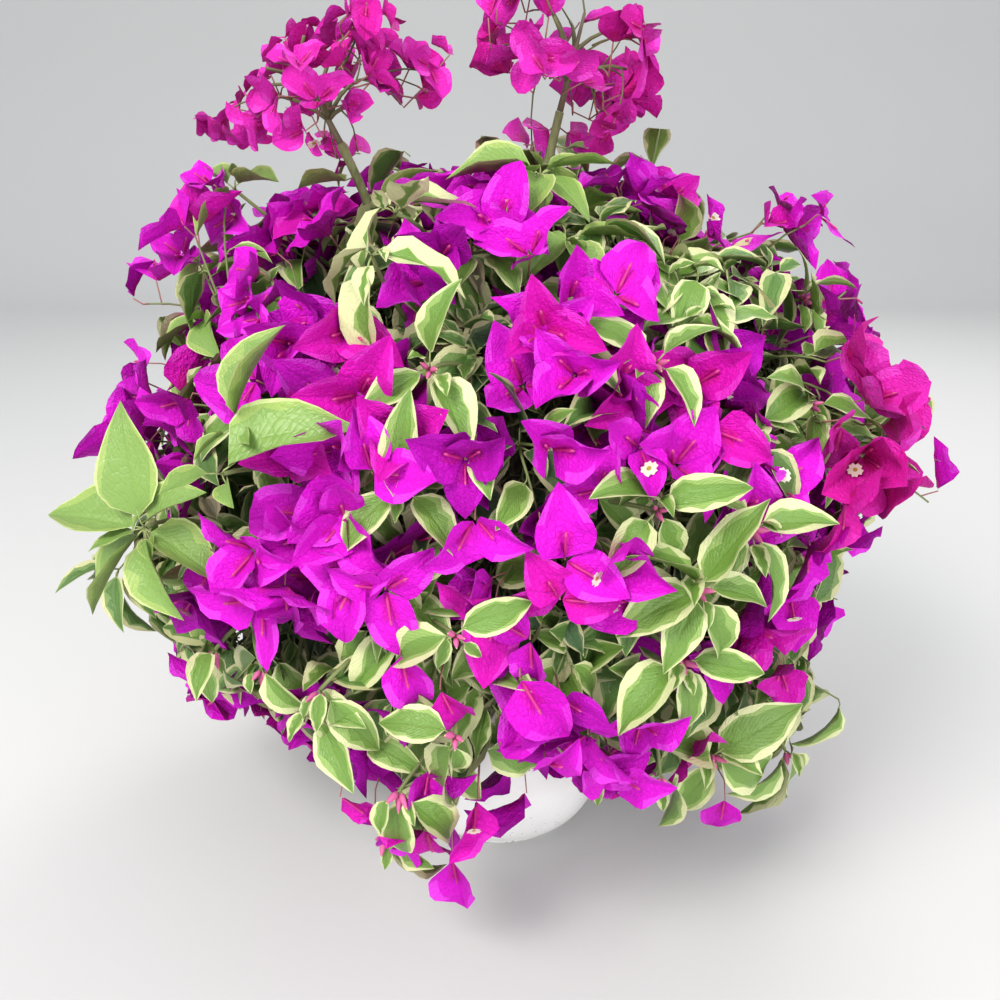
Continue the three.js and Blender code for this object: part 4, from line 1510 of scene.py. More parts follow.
@dataclass
class Blades:
    """The stamped shapes of leaves, bracts, tubes, flowers and buds."""

    seed: int = 5
    fold_edges: Pair = (0.3, 0.68)

    HEART, SOFT, CREAM = 0, 1, 2
    # The bract's fold zone is a lighter patch near its edge: a painted highlight.
    BLADE, FOLD, THROAT = 0, 1, 2
    FORWARDS = Matrix.Rotation(-math.pi / 2, 4, "X")

    def __post_init__(self) -> None:
        """Models every shape."""
        self.stream = SeededStream(self.seed)
        self.leaves = [self._leaf(0.18, 0.16, 0.48) for _ in range(10)]
        self.leaves += [self._leaf(0.32, 0.32, 0.48) for _ in range(4)]
        self.pale_leaves = [self._leaf(0.66, 0.25, 0.46) for _ in range(4)]
        self.lime_leaves = [self._leaf(0.06, 0.02, 0.56, 0.5) for _ in range(5)]
        self.bracts = [self._bract(0.76, 0.5, 1.00) for _ in range(8)]
        self.round_bracts = [self._bract(0.82, 0.5, 0.6) for _ in range(6)]
        self.tube = self._tube(False)
        self.open_tube = self._tube(True)
        self.star = self._star()
        self.bud = self._bud()

    def leaves_for(self, tip: Tip) -> list[Stamp]:
        """Gives the leaves that a shoot of a kind carries."""
        return {Tip.LIME: self.lime_leaves, Tip.PALE: self.pale_leaves}.get(tip, self.leaves)

    def _leaf(self, margin: float, splash: float, width: float, most_curl: float = 1.1) -> Stamp:
        """Models a leaf.

        Args:
            margin: The share of the half width that is cream at the edge.
            splash: How much further in the cream reaches in its splashes.
            width: The width as a share of the length.
            most_curl: The most that it bends from root to tip, in radians.

        Returns:
            The shape.
        """
        draw = self.stream
        waves = [[(draw.between(0.8, 4.5), draw.between(0, 6.3)) for _ in range(3)] for _ in range(2)]
        soft = draw.between(0.18, 0.5)

        def edges(side: int, v: float) -> Pair:
            """Gives where the heart ends and where the cream starts.

            Args:
                side: The side, 0 or 1.
                v: The share of the length.

            Returns:
                Both places, as shares of the half width.
            """
            swing = [math.sin(rate * v * 2 * math.pi + phase) for rate, phase in waves[side]]
            cream = margin * (1 + 0.35 * swing[0]) + splash * max(0.0, swing[1]) ** 2
            outer = 1 - min(max(cream, 0.05), 0.88)
            return outer * (1 - soft * (0.75 + 0.5 * swing[2])), outer

        shape = BladeShape(
            width=width * draw.between(0.9, 1.1),
            base=draw.between(0.58, 0.72),
            tip=draw.between(1.05, 1.3),
            fold=draw.between(0.15, 0.8),
            cup=draw.between(-0.3, 0.6),
            curl=draw.between(0.1, most_curl),
            wave=draw.between(0.015, 0.06),
            waves=draw.between(1.0, 2.2),
            twist=draw.between(-0.5, 0.5),
            crinkle=0.004,
        )
        zones = (self.CREAM, self.SOFT, self.HEART, self.HEART, self.SOFT, self.CREAM)
        return shape.stamp(draw, lambda column, v: zones[column], edges)

    def _bract(self, width: float, base: float, tip: float) -> Stamp:
        """Models a bract.

        Args:
            width: The width as a share of the length.
            base: How pointed its base is.
            tip: How pointed its tip is.

        Returns:
            The shape.
        """
        draw = self.stream
        # Where along the bract the painted highlight on the fold lies.
        lighter = draw.between(0.35, 0.8)

        def zone(column: int, v: float) -> int:
            """Gives the zone of a face.

            Args:
                column: Its column.
                v: Its share of the length.

            Returns:
                The number of the throat, the fold's painted highlight or the blade.
            """
            if column in (2, 3) and v < 0.34:
                return self.THROAT
            return self.FOLD if column in (0, 5) and abs(v - lighter) < 0.2 else self.BLADE

        shape = BladeShape(
            width=width * draw.between(0.92, 1.08),
            base=base * draw.between(0.9, 1.1),
            tip=tip * draw.between(0.9, 1.12),
            fold=draw.between(0.3, 0.95),
            cup=draw.between(-0.8, 0.9),
            curl=draw.between(0.2, 1.1) * (1 if draw() < 0.7 else -0.5),
            wave=draw.between(0.05, 0.11),
            waves=draw.between(0.8, 1.9),
            twist=draw.between(-0.5, 0.5),
            crinkle=0.012,
        )
        return shape.stamp(draw, zone, lambda side, v: self.fold_edges)

    def _tube(self, opened: bool) -> Stamp:
        """Models a flower's slender tube along +Y, 1 long.

        Args:
            opened: Whether its mouth is flared, or closed.

        Returns:
            The shape.
        """
        mouth = 0.09 if opened else 0.03
        rings = ((0.0, 0.045), (0.25, 0.07), (0.6, 0.048), (0.86, 0.06), (1.0, mouth))
        bm = bmesh.new()
        made = bmesh.ops.create_circle(bm, cap_ends=True, segments=5, radius=rings[0][1])
        edges = list(bm.edges)
        bmesh.ops.transform(bm, matrix=self.FORWARDS, verts=made["verts"])
        for (y0, r0), (y1, r1) in zip(rings, rings[1:]):
            out = bmesh.ops.extrude_edge_only(bm, edges=edges)["geom"]
            verts = [g for g in out if isinstance(g, bmesh.types.BMVert)]
            edges = [g for g in out if isinstance(g, bmesh.types.BMEdge)]
            bmesh.ops.translate(bm, verts=verts, vec=(0, y1 - y0, 0))
            size = r1 / r0
            bmesh.ops.scale(bm, verts=verts, vec=(size, 1, size))
        bmesh.ops.edgeloop_fill(bm, edges=edges)
        bmesh.ops.recalc_face_normals(bm, faces=bm.faces)
        for face in bm.faces:
            tip = face.calc_center_median().y > 0.84
            face.material_index = (BloomPart.TUBE_TIP if tip else BloomPart.TUBE).zone
        return Stamp.from_bmesh(bm)

    def _star(self) -> Stamp:
        """Models an open flower 1 across, with five notched lobes, facing +Y.

        Returns:
            The shape.
        """
        bm = bmesh.new()
        bmesh.ops.create_circle(bm, cap_ends=True, segments=20, radius=0.5)
        bmesh.ops.transform(bm, matrix=self.FORWARDS, verts=bm.verts)
        rim = list(bm.verts)
        bmesh.ops.inset_individual(bm, faces=list(bm.faces), thickness=0.36)
        eye = [face for face in bm.faces if all(v not in rim for v in face.verts)]
        for face in bm.faces:
            face.material_index = (BloomPart.EYE if face in eye else BloomPart.PETAL).zone
        for i, vert in enumerate(rim):
            vert.co *= (0.88, 1.0, 0.7, 1.0)[i % 4]
            vert.co.y += 0.1
        for face in eye:
            bmesh.ops.translate(bm, verts=list(face.verts), vec=(0, 0.05, 0))
        return Stamp.from_bmesh(bm)

    def _bud(self) -> Stamp:
        """Models a young bud of folded bracts along +Y, 1 long.

        Returns:
            The shape.
        """
        bm = bmesh.new()
        bmesh.ops.create_uvsphere(bm, u_segments=6, v_segments=5, radius=0.5)
        bmesh.ops.transform(bm, matrix=self.FORWARDS, verts=bm.verts)
        for vert in bm.verts:
            share = vert.co.y + 0.5
            narrow = 0.46 * (1.2 - 0.9 * share)
            vert.co = Vector((vert.co.x * narrow, share, vert.co.z * narrow))
        for face in bm.faces:
            tip = face.calc_center_median().y > 0.86
            face.material_index = (BloomPart.BUD_TIP if tip else BloomPart.BUD).zone
        return Stamp.from_bmesh(bm)


def facing(along: Array, face: Array, length: float) -> Array:
    """Gives the matrix that lays a shape's +Y along a way, with its +Z towards a face.

    Args:
        along: The unit vector that +Y takes.
        face: The vector that +Z comes nearest to.
        length: The size given to the shape.

    Returns:
        The matrix.
    """
    upper = unit(face - along * float(face @ along))
    return np.column_stack((np.cross(along, upper), along, upper)) * length


# Foliage.


@dataclass
class Shoot:
    """A fine shoot with what it carries, and how far out in the crown it ends."""

    mass: Mass
    curve: Bezier
    tip: Tip
    depth: float
    tint: LeafTint = LeafTint.FULL


@dataclass
class Foliage:
    """Shoots, leaves and blossom that grow on from the skeleton."""

    skeleton: Skeleton
    view: View
    blades: Blades
    seed: int = 77
    shoots: int = 700
    shoot_ends_at: Pair = (0.72, 0.95)
    inner_shoots: int = 150
    inner_ends_at: Pair = (0.5, 0.68)
    shaded_below: float = 0.8
    spray_depth: float = 0.036
    clump_spread: float = 0.011
    whorl_shoot_radii: Pair = (0.0018, 0.0011)
    shoot_radii: Pair = (0.001, 0.0006)
    stalk_radii: Pair = (0.0006, 0.00045)
    twig_step: float = 0.012
    shoot_step: float = 0.013
    leaf_length: Pair = (0.032, 0.05)
    leaf_spacing: float = 0.017
    leaf_stalk: Pair = (0.005, 0.01)
    young_leaves: int = 2
    bract_length: Pair = (0.031, 0.043)
    placed_share: float = 0.9
    rose_share: float = 0.86
    blossom_stalk: Pair = (0.01, 0.02)
    tube_share: float = 0.44
    star_size: float = 0.009
    star_chance: float = 0.05
    bud_size: Pair = (0.007, 0.011)
    outline: float = 1.04
    placed_outline: float = 1.36
    box_margin: Place = (0.012, 0.003, 0.012)
    swell: Pair = (0.1, 0.24)
    swell_scale: float = 4.5
    strays: int = 110
    strays_lowest: float = -38
    stray_ends_at: Pair = (0.98, 1.13)
    room: float = 700
    patch_reach: float = 1.25
    under_whorls: float = 0.82
    ground_clearance: float = 0.012
    pot_clearance: float = 0.004
    blade_clearance: float = 0.0075
    blade_middles: tuple[float, ...] = (0.35, 0.55, 0.75)
    cane_leaves_at: tuple[float, ...] = (0.7, 0.78, 0.86, 0.93)
    cane_leaf_length: Pair = (0.03, 0.042)

    def __post_init__(self) -> None:
        """Starts the pieces."""
        self.crown = self.skeleton.crown
        self.stream = SeededStream(self.seed)
        self.limit = self.outline
        self.placing = True
        self.middles: list[Array] = []
        self.least = np.array(CAD_BOX[0]) - np.array(self.box_margin)
        self.most = np.array(CAD_BOX[1]) + np.array(self.box_margin)
        # A bract's middle zone is the painted highlight on its fold.
        leaf_zones, bract_zones = ("_heart", "_soft", "_margin"), ("_blade", "_fold", "_throat")
        leaf_materials = tint_materials("leaf", LeafTint, LeafFinish, leaf_zones)
        bract_materials = tint_materials("bract", BractTint, BractFinish, bract_zones)
        bloom_materials = tint_materials("bloom", BloomPart, BloomFinish)
        wood_materials = tint_materials("wood", WoodPart, WoodFinish)
        tiers = ("low", "middle", "upper", "sprays")
        self.leaves = {t: StampedPiece(f"leaves_{t}", "leaf", leaf_materials) for t in tiers}
        self.bracts = {t: StampedPiece(f"bracts_{t}", "bract", bract_materials) for t in tiers}
        self.flowers = StampedPiece("flower_tubes_and_stars", "bract", bloom_materials)
        self.buds = StampedPiece("young_buds", "bract", bloom_materials)
        self.twigs = TubedPiece("twigs", "bark", wood_materials)

    def grow(self) -> None:
        """Grows everything: first what is placed, then what fills the crown."""
        self.limit = self.placed_outline
        for rosette in ROSETTES:
            self._stand_rosette(rosette)
        for bloom in BLOOMS:
            self._stand_bloom(bloom)
        self.placing = False
        self._grow_strays()
        self.limit = self.outline
        self._lay_skeleton()
        for shoot in self._shoots():
            self._dress(shoot)
        for cane in self.skeleton.canes:
            self._dress_cane(cane)

    def build(self) -> None:
        """Makes the pieces, each in place of its own solids."""
        for tier in self.leaves:
            own = [mass for mass in self.skeleton.masses if mass.tier == tier]
            leafy = [mass.name for mass in own if mass.kind is Kind.LEAF]
            flowering = [mass.name for mass in own if mass.kind is Kind.BLOSSOM]
            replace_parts(self.leaves[tier].build(), *leafy)
            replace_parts(self.bracts[tier].build(), *flowering)
        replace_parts(self.twigs.build(), *(mass.name for mass in self.skeleton.masses))
        self.flowers.build()
        self.buds.build()

    def _lay_skeleton(self) -> None:
        """Lays the stems and twigs of every mass, with a whorl of leaves at each twig's end."""
        draw = self.stream
        for mass in self.skeleton.masses:
            for limb in mass.limbs:
                end = limb.curve.at(1.0)
                is_twig = limb.name != "stem"
                if is_twig and not self._fits(mass, end):
                    continue
                steps = max(4, round(limb.curve.length / self.twig_step))
                points = limb.curve.at(np.linspace(0, 1, steps + 1))
                radii = (limb.root_radius, self.shoot_radii[0] if mass.in_spray else limb.tip_radius)
                self.twigs.add(points, radii, 6, WoodPart.TWIG if is_twig else WoodPart.STEM)
                if is_twig and not mass.in_spray:
                    axis = unit(limb.curve.tangent(1) + mass.outward(end))
                    length = draw.between(*self.leaf_length)
                    # Painted shade: these whorls sit inside the crown, so many take the darker shade tint;
                    # in an open hollow they are dry leaves or that shade tint.
                    tint = LeafTint.FULL if draw() < 0.6 else LeafTint.SHADE
                    if self._tip_at(mass, end, 1.0) is Tip.OPEN:
                        tint = LeafTint.DRY if draw() < 0.4 else LeafTint.SHADE
                        length *= 0.75
                    self._whorl(Shoot(mass, limb.curve, Tip.LEAVES, 1.0, tint), axis, 3, length, 64)

    def _shoots(self) -> list[Shoot]:
        """Grows fine shoots from the skeleton to targets spread over the crown and the sprays.

        Returns:
            The shoots.
        """
        draw = self.stream
        shoots = []
        layers = ((self.shoots, self.shoot_ends_at), (self.inner_shoots, self.inner_ends_at))
        for count, ends in layers:
            for direction in even_directions(count, self.crown.lowest_aspect):
                depth = draw.between(*ends) + self._swell(direction)
                point = self.crown.point(unit(direction + draw.direction() * 0.04), depth)
                mass = self.skeleton.nearest_mass(point)
                tip = self._tip_at(mass, point, depth)
                if tip is not Tip.OPEN and self._fits(mass, point):
                    shoots.append(Shoot(mass, mass.reach(point), tip, depth))
        forward = self.view.axes[2]
        for mass, spray in zip(self.skeleton.spray_masses, SPRAYS):
            look = SPRAY_LOOKS[mass.name]
            middle = float((np.array(spray.at) - np.array(self.view.place)) @ forward)
            for clump in look.clumps:
                centre = self.view.at_depth(clump, middle + draw.between(-1, 1) * self.spray_depth)
                for _ in range(look.shoots):
                    point = centre + draw.direction() * self.clump_spread
                    if self._fits(mass, point):
                        shoots.append(Shoot(mass, mass.reach(point), Tip.ROSE, 1.0))
        return shoots

    def _swell(self, direction: Array) -> float:
        """Tells how far the crown swells out or in, in a direction from its middle: more behind."""
        most = float(np.interp(direction[1], (-0.2, 0.5), self.swell))
        return most * noise.noise(Vector(direction * self.swell_scale))

    def _tip_at(self, mass: Mass, point: Array, depth: float) -> Tip:
        """Chooses what a shoot carries, by what the picture shows where it ends.

        Args:
            mass: The mass that it grows in.
            point: Where it ends.
            depth: How far out in the crown that is.

        Returns:
            What it carries.
        """
        draw = self.stream
        if depth < self.inner_ends_at[1]:
            return Tip.LEAVES
        outward = self.crown.point(unit(point - self.crown.centre), 0.97)
        if self.view.faces(outward, mass.outward(outward)):
            x, y = self.view.pixels(outward)
            if any(math.hypot(r.x - x, r.y - y) < r.length * self.room for r in ROSETTES + BLOOMS):
                return Tip.LEAVES if depth < self.under_whorls else Tip.OPEN
            near = min(PATCHES, key=lambda p: math.hypot(p.x - x, p.y - y) / p.radius)
            if math.hypot(near.x - x, near.y - y) < near.radius * self.patch_reach:
                return near.tip
        chance = 0.74 if mass.kind is Kind.BLOSSOM else 0.28
        if draw() < chance:
            return Tip.BLOSSOM
        return Tip.LIME if draw() < 0.06 else Tip.LEAVES

    def _dress(self, shoot: Shoot) -> None:
        """Lays a shoot, with leaves along it and its kind of growth at its end.

        Args:
            shoot: The shoot.
        """
        draw = self.stream
        curve, mass = shoot.curve, shoot.mass
        blossoms = shoot.tip in (Tip.BLOSSOM, Tip.ROSE)
        shoot.tint = self._leaf_tint(shoot)
        count = 0 if mass.in_spray else min(5, int(curve.length * 0.72 / self.leaf_spacing))
        turn = draw.between(0, 2 * math.pi)
        for i in range(count):
            share = 0.3 + (0.45 if blossoms else 0.62) * (i + draw()) / count
            turn += GOLDEN_ANGLE
            if blossoms and draw() < 0.45:
                continue
            length = draw.between(*self.leaf_length) * (1.06 - 0.25 * share)
            lean = draw.between(48, 72)
            self._leaf(shoot, curve.at(share), curve.tangent(share), turn, lean, length)
        if blossoms:
            carried = self._blossom(shoot)
        else:
            axis = unit(curve.tangent(1) * 0.5 + mass.outward(curve.at(1.0)) * 0.6)
            count = 3 + draw.whole(2)
            length = draw.between(0.76, 1.0) * self.leaf_length[1]
            carried = self._whorl(shoot, axis, count, length, 62)
        if carried:
            radii, wood = self.shoot_radii, WoodPart.SHOOT
            if mass.in_spray:
                radii, wood = self.stalk_radii, WoodPart.TWIG
            steps = max(3, round(curve.length / self.shoot_step))
            self.twigs.add(curve.at(np.linspace(0, 1, steps + 1)), radii, 5, wood)

    def _leaf_tint(self, shoot: Shoot) -> LeafTint:
        """Chooses a shoot's tint of leaves: darker inside the crown as painted shade, and lighter on its
        outside as partly painted light.

        Args:
            shoot: The shoot.

        Returns:
            The tint.
        """
        draw = self.stream
        if shoot.tip is Tip.LIME:
            return LeafTint.LIME
        # Painted light and shade: the deeper a shoot ends, the darker the tint of its leaves.
        if shoot.depth < self.inner_ends_at[1]:
            return LeafTint.DRY if draw() < 0.12 else LeafTint.SHADE
        if shoot.depth < self.shaded_below:
            return LeafTint.SHADE if draw() < 0.35 else LeafTint.FULL
        return LeafTint.FRESH_AND_LIT if draw() < 0.55 else LeafTint.FULL

    def _fits(self, mass: Mass, point: Array) -> bool:
        """Tells whether a tip keeps inside the crown's outline and clear of pot and floor.

        Args:
            mass: The mass that it belongs to.
            point: Where it is.

        Returns:
            Whether it does.
        """
        limit = self.limit + self._swell(unit(point - self.crown.centre))
        if point[2] < self.ground_clearance or float(mass.share(point)) > limit:
            return False
        if np.any(point < self.least) or np.any(point > self.most):
            return False
        if not inside(SPRAY_OUTLINES.get(mass.name, CROWN_OUTLINE), self.view.pixels(point)):
            return False
        level = math.hypot(point[0], point[1])
        return not (point[2] < Pot.height + self.pot_clearance
                    and level < Pot.outer_radius(point[2]) + self.pot_clearance)

    def _has_room(self, mass: Mass, root: Array, reach: Array) -> bool:
        """Tells whether a blade fits, and keeps off the middles of the placed blades.

        Args:
            mass: The mass that it belongs to.
            root: Its root.
            reach: The vector from its root to its tip.

        Returns:
            Whether it has room.
        """
        if not self._fits(mass, root + reach):
            return False
        middles = np.array(self.middles).reshape(-1, 3)
        return not any(
            np.any(np.linalg.norm(middles - root - reach * share, axis=1) < self.blade_clearance)
            for share in (0.6, 1.0)
        )

    def _note_middle(self, root: Array, reach: Array) -> None:
        """Notes the middle of a placed blade, for others to keep off."""
        if self.placing:
            self.middles += [root + reach * share for share in self.blade_middles]

    def _leaf(
        self, shoot: Shoot, node: Array, stem: Array, turn: float, lean: float, length: float,
    ) -> bool:
        """Grows a leaf on its stalk, turned to the light, if it has room.

        Args:
            shoot: The shoot that carries it, whose kind chooses its shape.
            node: Where it leaves the shoot.
            stem: The shoot's heading there.
            turn: Radians about the shoot.
            lean: Degrees from the shoot.
            length: The blade's length.

        Returns:
            Whether it had room.
        """
        draw, mass = self.stream, shoot.mass
        side = square(stem, turn)
        droop = draw.between(0.1, 0.42)
        stalk = draw.between(*self.leaf_stalk)
        root = node + unit(stem * 0.7 + side) * stalk
        outward = mass.outward(root)
        along = unit(leaning(stem, side, lean) - UP * droop)
        if not self._has_room(mass, root, along * length):
            along = unit(along - outward * max(float(along @ outward), 0.0) - UP * 0.3)
            if not self._has_room(mass, root, along * length):
                return False
        self._note_middle(root, along * length)
        light = UP * 0.8 + outward * 0.75 + draw.direction() * 0.45
        shape = draw.pick(self.blades.leaves_for(shoot.tip))
        self.leaves[mass.tier].add(shape, facing(along, light, length), root, shoot.tint.zone)
        bend = node + (root - node) * 0.5 + stem * stalk * 0.15
        end = root + along * length * 0.06
        self.twigs.add(np.array((node, bend, end)), self.stalk_radii, 3, WoodPart.LEAF_STALK)
        return True

    def _whorl(
        self, shoot: Shoot, axis: Array, count: int, length: float, lean: float,
        turn: float | None = None,
    ) -> int:
        """Grows a whorl of leaves round a shoot's end, smaller and steeper towards its middle.

        Args:
            shoot: The shoot.
            axis: The whorl's axis.
            count: How many full leaves it has.
            length: The length of the outer ones.
            lean: Degrees from the axis to the outer ones.
            turn: Radians about the axis to the first one, or None for any.

        Returns:
            How many leaves had room.
        """
        draw, end = self.stream, shoot.curve.at(1.0)
        if turn is None:
            turn = draw.between(0, 2 * math.pi)
        grown = 0
        for i in range(count + self.young_leaves):
            small = 1.0 - 0.07 * i if i < count else 0.42 - 0.12 * (i - count)
            steep = lean * draw.between(0.85, 1.1) if i < count else lean * 0.35
            grown += self._leaf(shoot, end, axis, turn, steep, length * small)
            turn += GOLDEN_ANGLE if i + 1 >= count else 2 * math.pi / count * draw.between(0.85, 1.15)
        return grown

    def _blossom(self, shoot: Shoot) -> int:
        """Grows the clusters of bracts at a shoot's end, each on its own stalk.

        Args:
            shoot: The shoot.

        Returns:
            How many bracts had room.
        """
        draw, curve = self.stream, shoot.curve
        heading, outward = curve.tangent(1), shoot.mass.outward(curve.at(1.0))
        axis = unit(heading * 0.35 + outward * 0.75 + draw.direction() * 0.3)
        clusters = 1 + (draw() < 0.52) + (draw() < 0.2)
        if shoot.mass.in_spray:
            clusters = 1 + (draw() < 0.35)
        turn = draw.between(0, 2 * math.pi)
        grown = 0
        for i in range(clusters):
            way = axis
            if i or shoot.mass.in_spray:
                way = leaning(axis, square(axis, turn), draw.between(35, 62))
            turn += GOLDEN_ANGLE
            stalk = draw.between(*self.blossom_stalk)
            start = curve.at(1 - 0.14 * i)
            centre = start + unit(heading * 0.4 + way) * stalk
            bracts = self._cluster(shoot, centre, way)
            if bracts:
                points = np.array((start, start + heading * stalk * 0.35, centre))
                self.twigs.add(points, self.stalk_radii, 4, WoodPart.BLOSSOM_STALK)
            grown += bracts
        return grown

    def _cluster(self, shoot: Shoot, centre: Array, axis: Array, bloom: Bloom | None = None) -> int:
        """Grows three bracts round an axis, each with its flower along its rib.

        Args:
            shoot: The shoot that carries them.
            centre: The end of their stalk.
            axis: The way that they open.
            bloom: The bloom that it is, where it is one that is placed.

        Returns:
            How many bracts had room.
        """
        draw = self.stream
        mass = shoot.mass
        rose = shoot.tip is Tip.ROSE
        shapes = self.blades.round_bracts if rose else self.blades.bracts
        if bloom:
            length = bloom.length * self.placed_share
        elif mass.in_spray:
            length = draw.between(*SPRAY_LOOKS[mass.name].bract)
        else:
            length = draw.between(*self.bract_length) * (self.rose_share if rose else 1)
        tint = self._bract_tint(shoot)
        opening = draw.between(30, 64) * (0.5 if bloom and bloom.droop > 1 else 1)
        phase = draw.between(0, 2 * math.pi)
        star_chance = self.star_chance * (0.5 if mass.in_spray else 1)
        grown = 0
        for i in range(3):
            side = square(axis, phase + i * 2 * math.pi / 3 + draw.between(-0.16, 0.16))
            lean = opening + draw.between(-8, 8)
            along = leaning(axis, side, lean)
            size = length * draw.between(0.9, 1.08)
            root = centre + side * 0.0012
            if not self._has_room(mass, root, along * size):
                lean += 24
                along = leaning(axis, side, lean)
                size *= 0.85
                if not self._has_room(mass, root, along * size):
                    continue
            self._note_middle(root, along * size)
            self.bracts[mass.tier].add(draw.pick(shapes), facing(along, axis, size), root, tint.zone)
            opened = bloom.opened and i == 0 if bloom else draw() < star_chance
            self._flower(root, leaning(axis, side, lean - 13), axis, size, opened)
            grown += 1
        return grown

    def _bract_tint(self, shoot: Shoot) -> BractTint:
        """Chooses the tint of a cluster: pinker in the sprays and the rose bunch, and darker inside the
        crown as painted shade.

        Args:
            shoot: The shoot that carries it.

        Returns:
            The tint.
        """
        chance = self.stream()
        if shoot.mass.in_spray:
            return BractTint.PINK if chance < 0.7 else BractTint.ROSE
        if shoot.tip is Tip.ROSE:
            return BractTint.ROSE if chance < 0.7 else BractTint.PINK
        # Painted light and shade: clusters inside the crown take the full or deep tint, and only those
        # outside take the bright one.
        if shoot.depth < self.shaded_below:
            return BractTint.DEEP_AND_SHADE if chance < 0.35 else BractTint.FULL
        steps = ((0.46, BractTint.BRIGHT), (0.74, BractTint.FULL), (0.92, BractTint.MAGENTA))
        return next((tint for most, tint in steps if chance < most), BractTint.DEEP_AND_SHADE)

    def _flower(self, root: Array, along: Array, axis: Array, bract: float, opened: bool) -> None:
        """Grows a flower's tube along a bract, with its star where it is open.

        Args:
            root: The bract's root.
            along: The tube's way.
            axis: The cluster's axis.
            bract: The bract's length.
            opened: Whether it is open.
        """
        draw = self.stream
        length = bract * self.tube_share * draw.between(0.85, 1.1)
        shape = self.blades.open_tube if opened else self.blades.tube
        self.flowers.add(shape, facing(along, axis + draw.direction() * 0.1, length), root + along * 0.001)
        if opened:
            way = unit(along + axis * 0.5)
            size = self.star_size * draw.between(0.9, 1.12)
            turn = facing(way, draw.direction(), size)
            self.flowers.add(self.blades.star, turn, root + along * (length + 0.0008))

    def _stand_rosette(self, rosette: Rosette) -> None:
        """Grows a large whorl of leaves on a shoot of its own, with young buds in its middle.

        Args:
            rosette: The whorl.
        """
        draw = self.stream
        end = self.view.on_crown(self.crown, (rosette.x, rosette.y), rosette.share)
        mass = self.skeleton.nearest_mass(end)
        # The front whorls take the lighter, yellower leaf tint, which is partly painted light.
        tint = LeafTint.LIME if rosette.tip is Tip.LIME else LeafTint.FRESH_AND_LIT
        shoot = Shoot(mass, mass.reach(end), rosette.tip, rosette.share, tint)
        points = shoot.curve.at(np.linspace(0, 1, 8))
        self.twigs.add(points, self.whorl_shoot_radii, 6, WoodPart.SHOOT)
        axis = mass.outward(end) * 0.55 + self.view.back(end) * 0.6 + shoot.curve.tangent(1) * 0.25
        axis = unit(axis - UP * rosette.droop)
        turn = None if rosette.first is None else self.view.turn_to(end, axis, rosette.first)
        self._whorl(shoot, axis, rosette.leaves, rosette.length, rosette.lean, turn)
        for i in range(3 if rosette.tip is Tip.LEAVES else 0):
            way = leaning(axis, square(axis, i * GOLDEN_ANGLE), 30)
            size = draw.between(*self.bud_size)
            self.buds.add(self.blades.bud, facing(way, draw.direction(), size), end + way * 0.002)

    def _stand_bloom(self, bloom: Bloom) -> None:
        """Grows a cluster of bracts on a shoot of its own, which nods where it droops.

        Args:
            bloom: The cluster.
        """
        draw = self.stream
        centre = self.view.on_crown(self.crown, (bloom.x, bloom.y), bloom.share)
        mass = self.skeleton.nearest_mass(centre)
        outward = mass.outward(centre)
        node = centre - outward * 0.012 + UP * 0.018 * bloom.droop
        # Its leaves take the lighter, yellower tint, which is partly painted light.
        shoot = Shoot(mass, mass.reach(node), bloom.tip, 0.95, LeafTint.FRESH_AND_LIT)
        self.twigs.add(shoot.curve.at(np.linspace(0, 1, 7)), self.shoot_radii, 5, WoodPart.SHOOT)
        bend = (node + centre) / 2 + UP * 0.006 * bloom.droop + outward * 0.004
        self.twigs.add(np.array((node, bend, centre)), self.stalk_radii, 4, WoodPart.BLOSSOM_STALK)
        axis = outward * 0.6 + self.view.back(centre) * 0.4 - UP * bloom.droop
        self._cluster(shoot, centre, unit(axis + draw.direction() * 0.4), bloom)
        for share in (0.5, 0.62, 0.74):
            turn = draw.between(0, 2 * math.pi)
            length = draw.between(*self.leaf_length) * 0.85
            self._leaf(shoot, shoot.curve.at(share), shoot.curve.tangent(1), turn, 75, length)

    def _grow_strays(self) -> None:
        """Grows longer shoots on the sides that the picture doesn't show, to be uneven there too."""
        draw = self.stream
        for direction in even_directions(self.strays, self.strays_lowest):
            end = self.crown.point(direction, draw.between(*self.stray_ends_at))
            mass = self.skeleton.nearest_mass(end)
            if not self.view.faces(end, mass.outward(end)):
                tip = Tip.BLOSSOM if draw() < 0.5 else Tip.LEAVES
                self._dress(Shoot(mass, mass.reach(end), tip, 0.95))

    def _dress_cane(self, cane: Limb) -> None:
        """Grows a few lime leaves where a tall cane stands out of the crown.

        Args:
            cane: The cane.
        """
        draw = self.stream
        end = cane.curve.at(1.0)
        mass = min(self.skeleton.spray_masses, key=lambda m: float(np.linalg.norm(m.site - end)))
        turn = draw.between(0, 2 * math.pi)
        for share in self.cane_leaves_at:
            turn += GOLDEN_ANGLE
            node, stem = cane.curve.at(share), cane.curve.tangent(share)
            side = square(stem, turn)
            along = unit(leaning(stem, side, 62) - UP * 0.15)
            root = node + side * 0.009
            length = draw.between(*self.cane_leaf_length)
            shape = draw.pick(self.blades.lime_leaves)
            light = UP + mass.outward(root) * 0.3
            self.leaves["sprays"].add(shape, facing(along, light, length), root, LeafTint.LIME.zone)
            self.twigs.add(np.array((node, root + along * 0.002)), self.stalk_radii, 3, WoodPart.LEAF_STALK)


# Pot, soil and limbs.


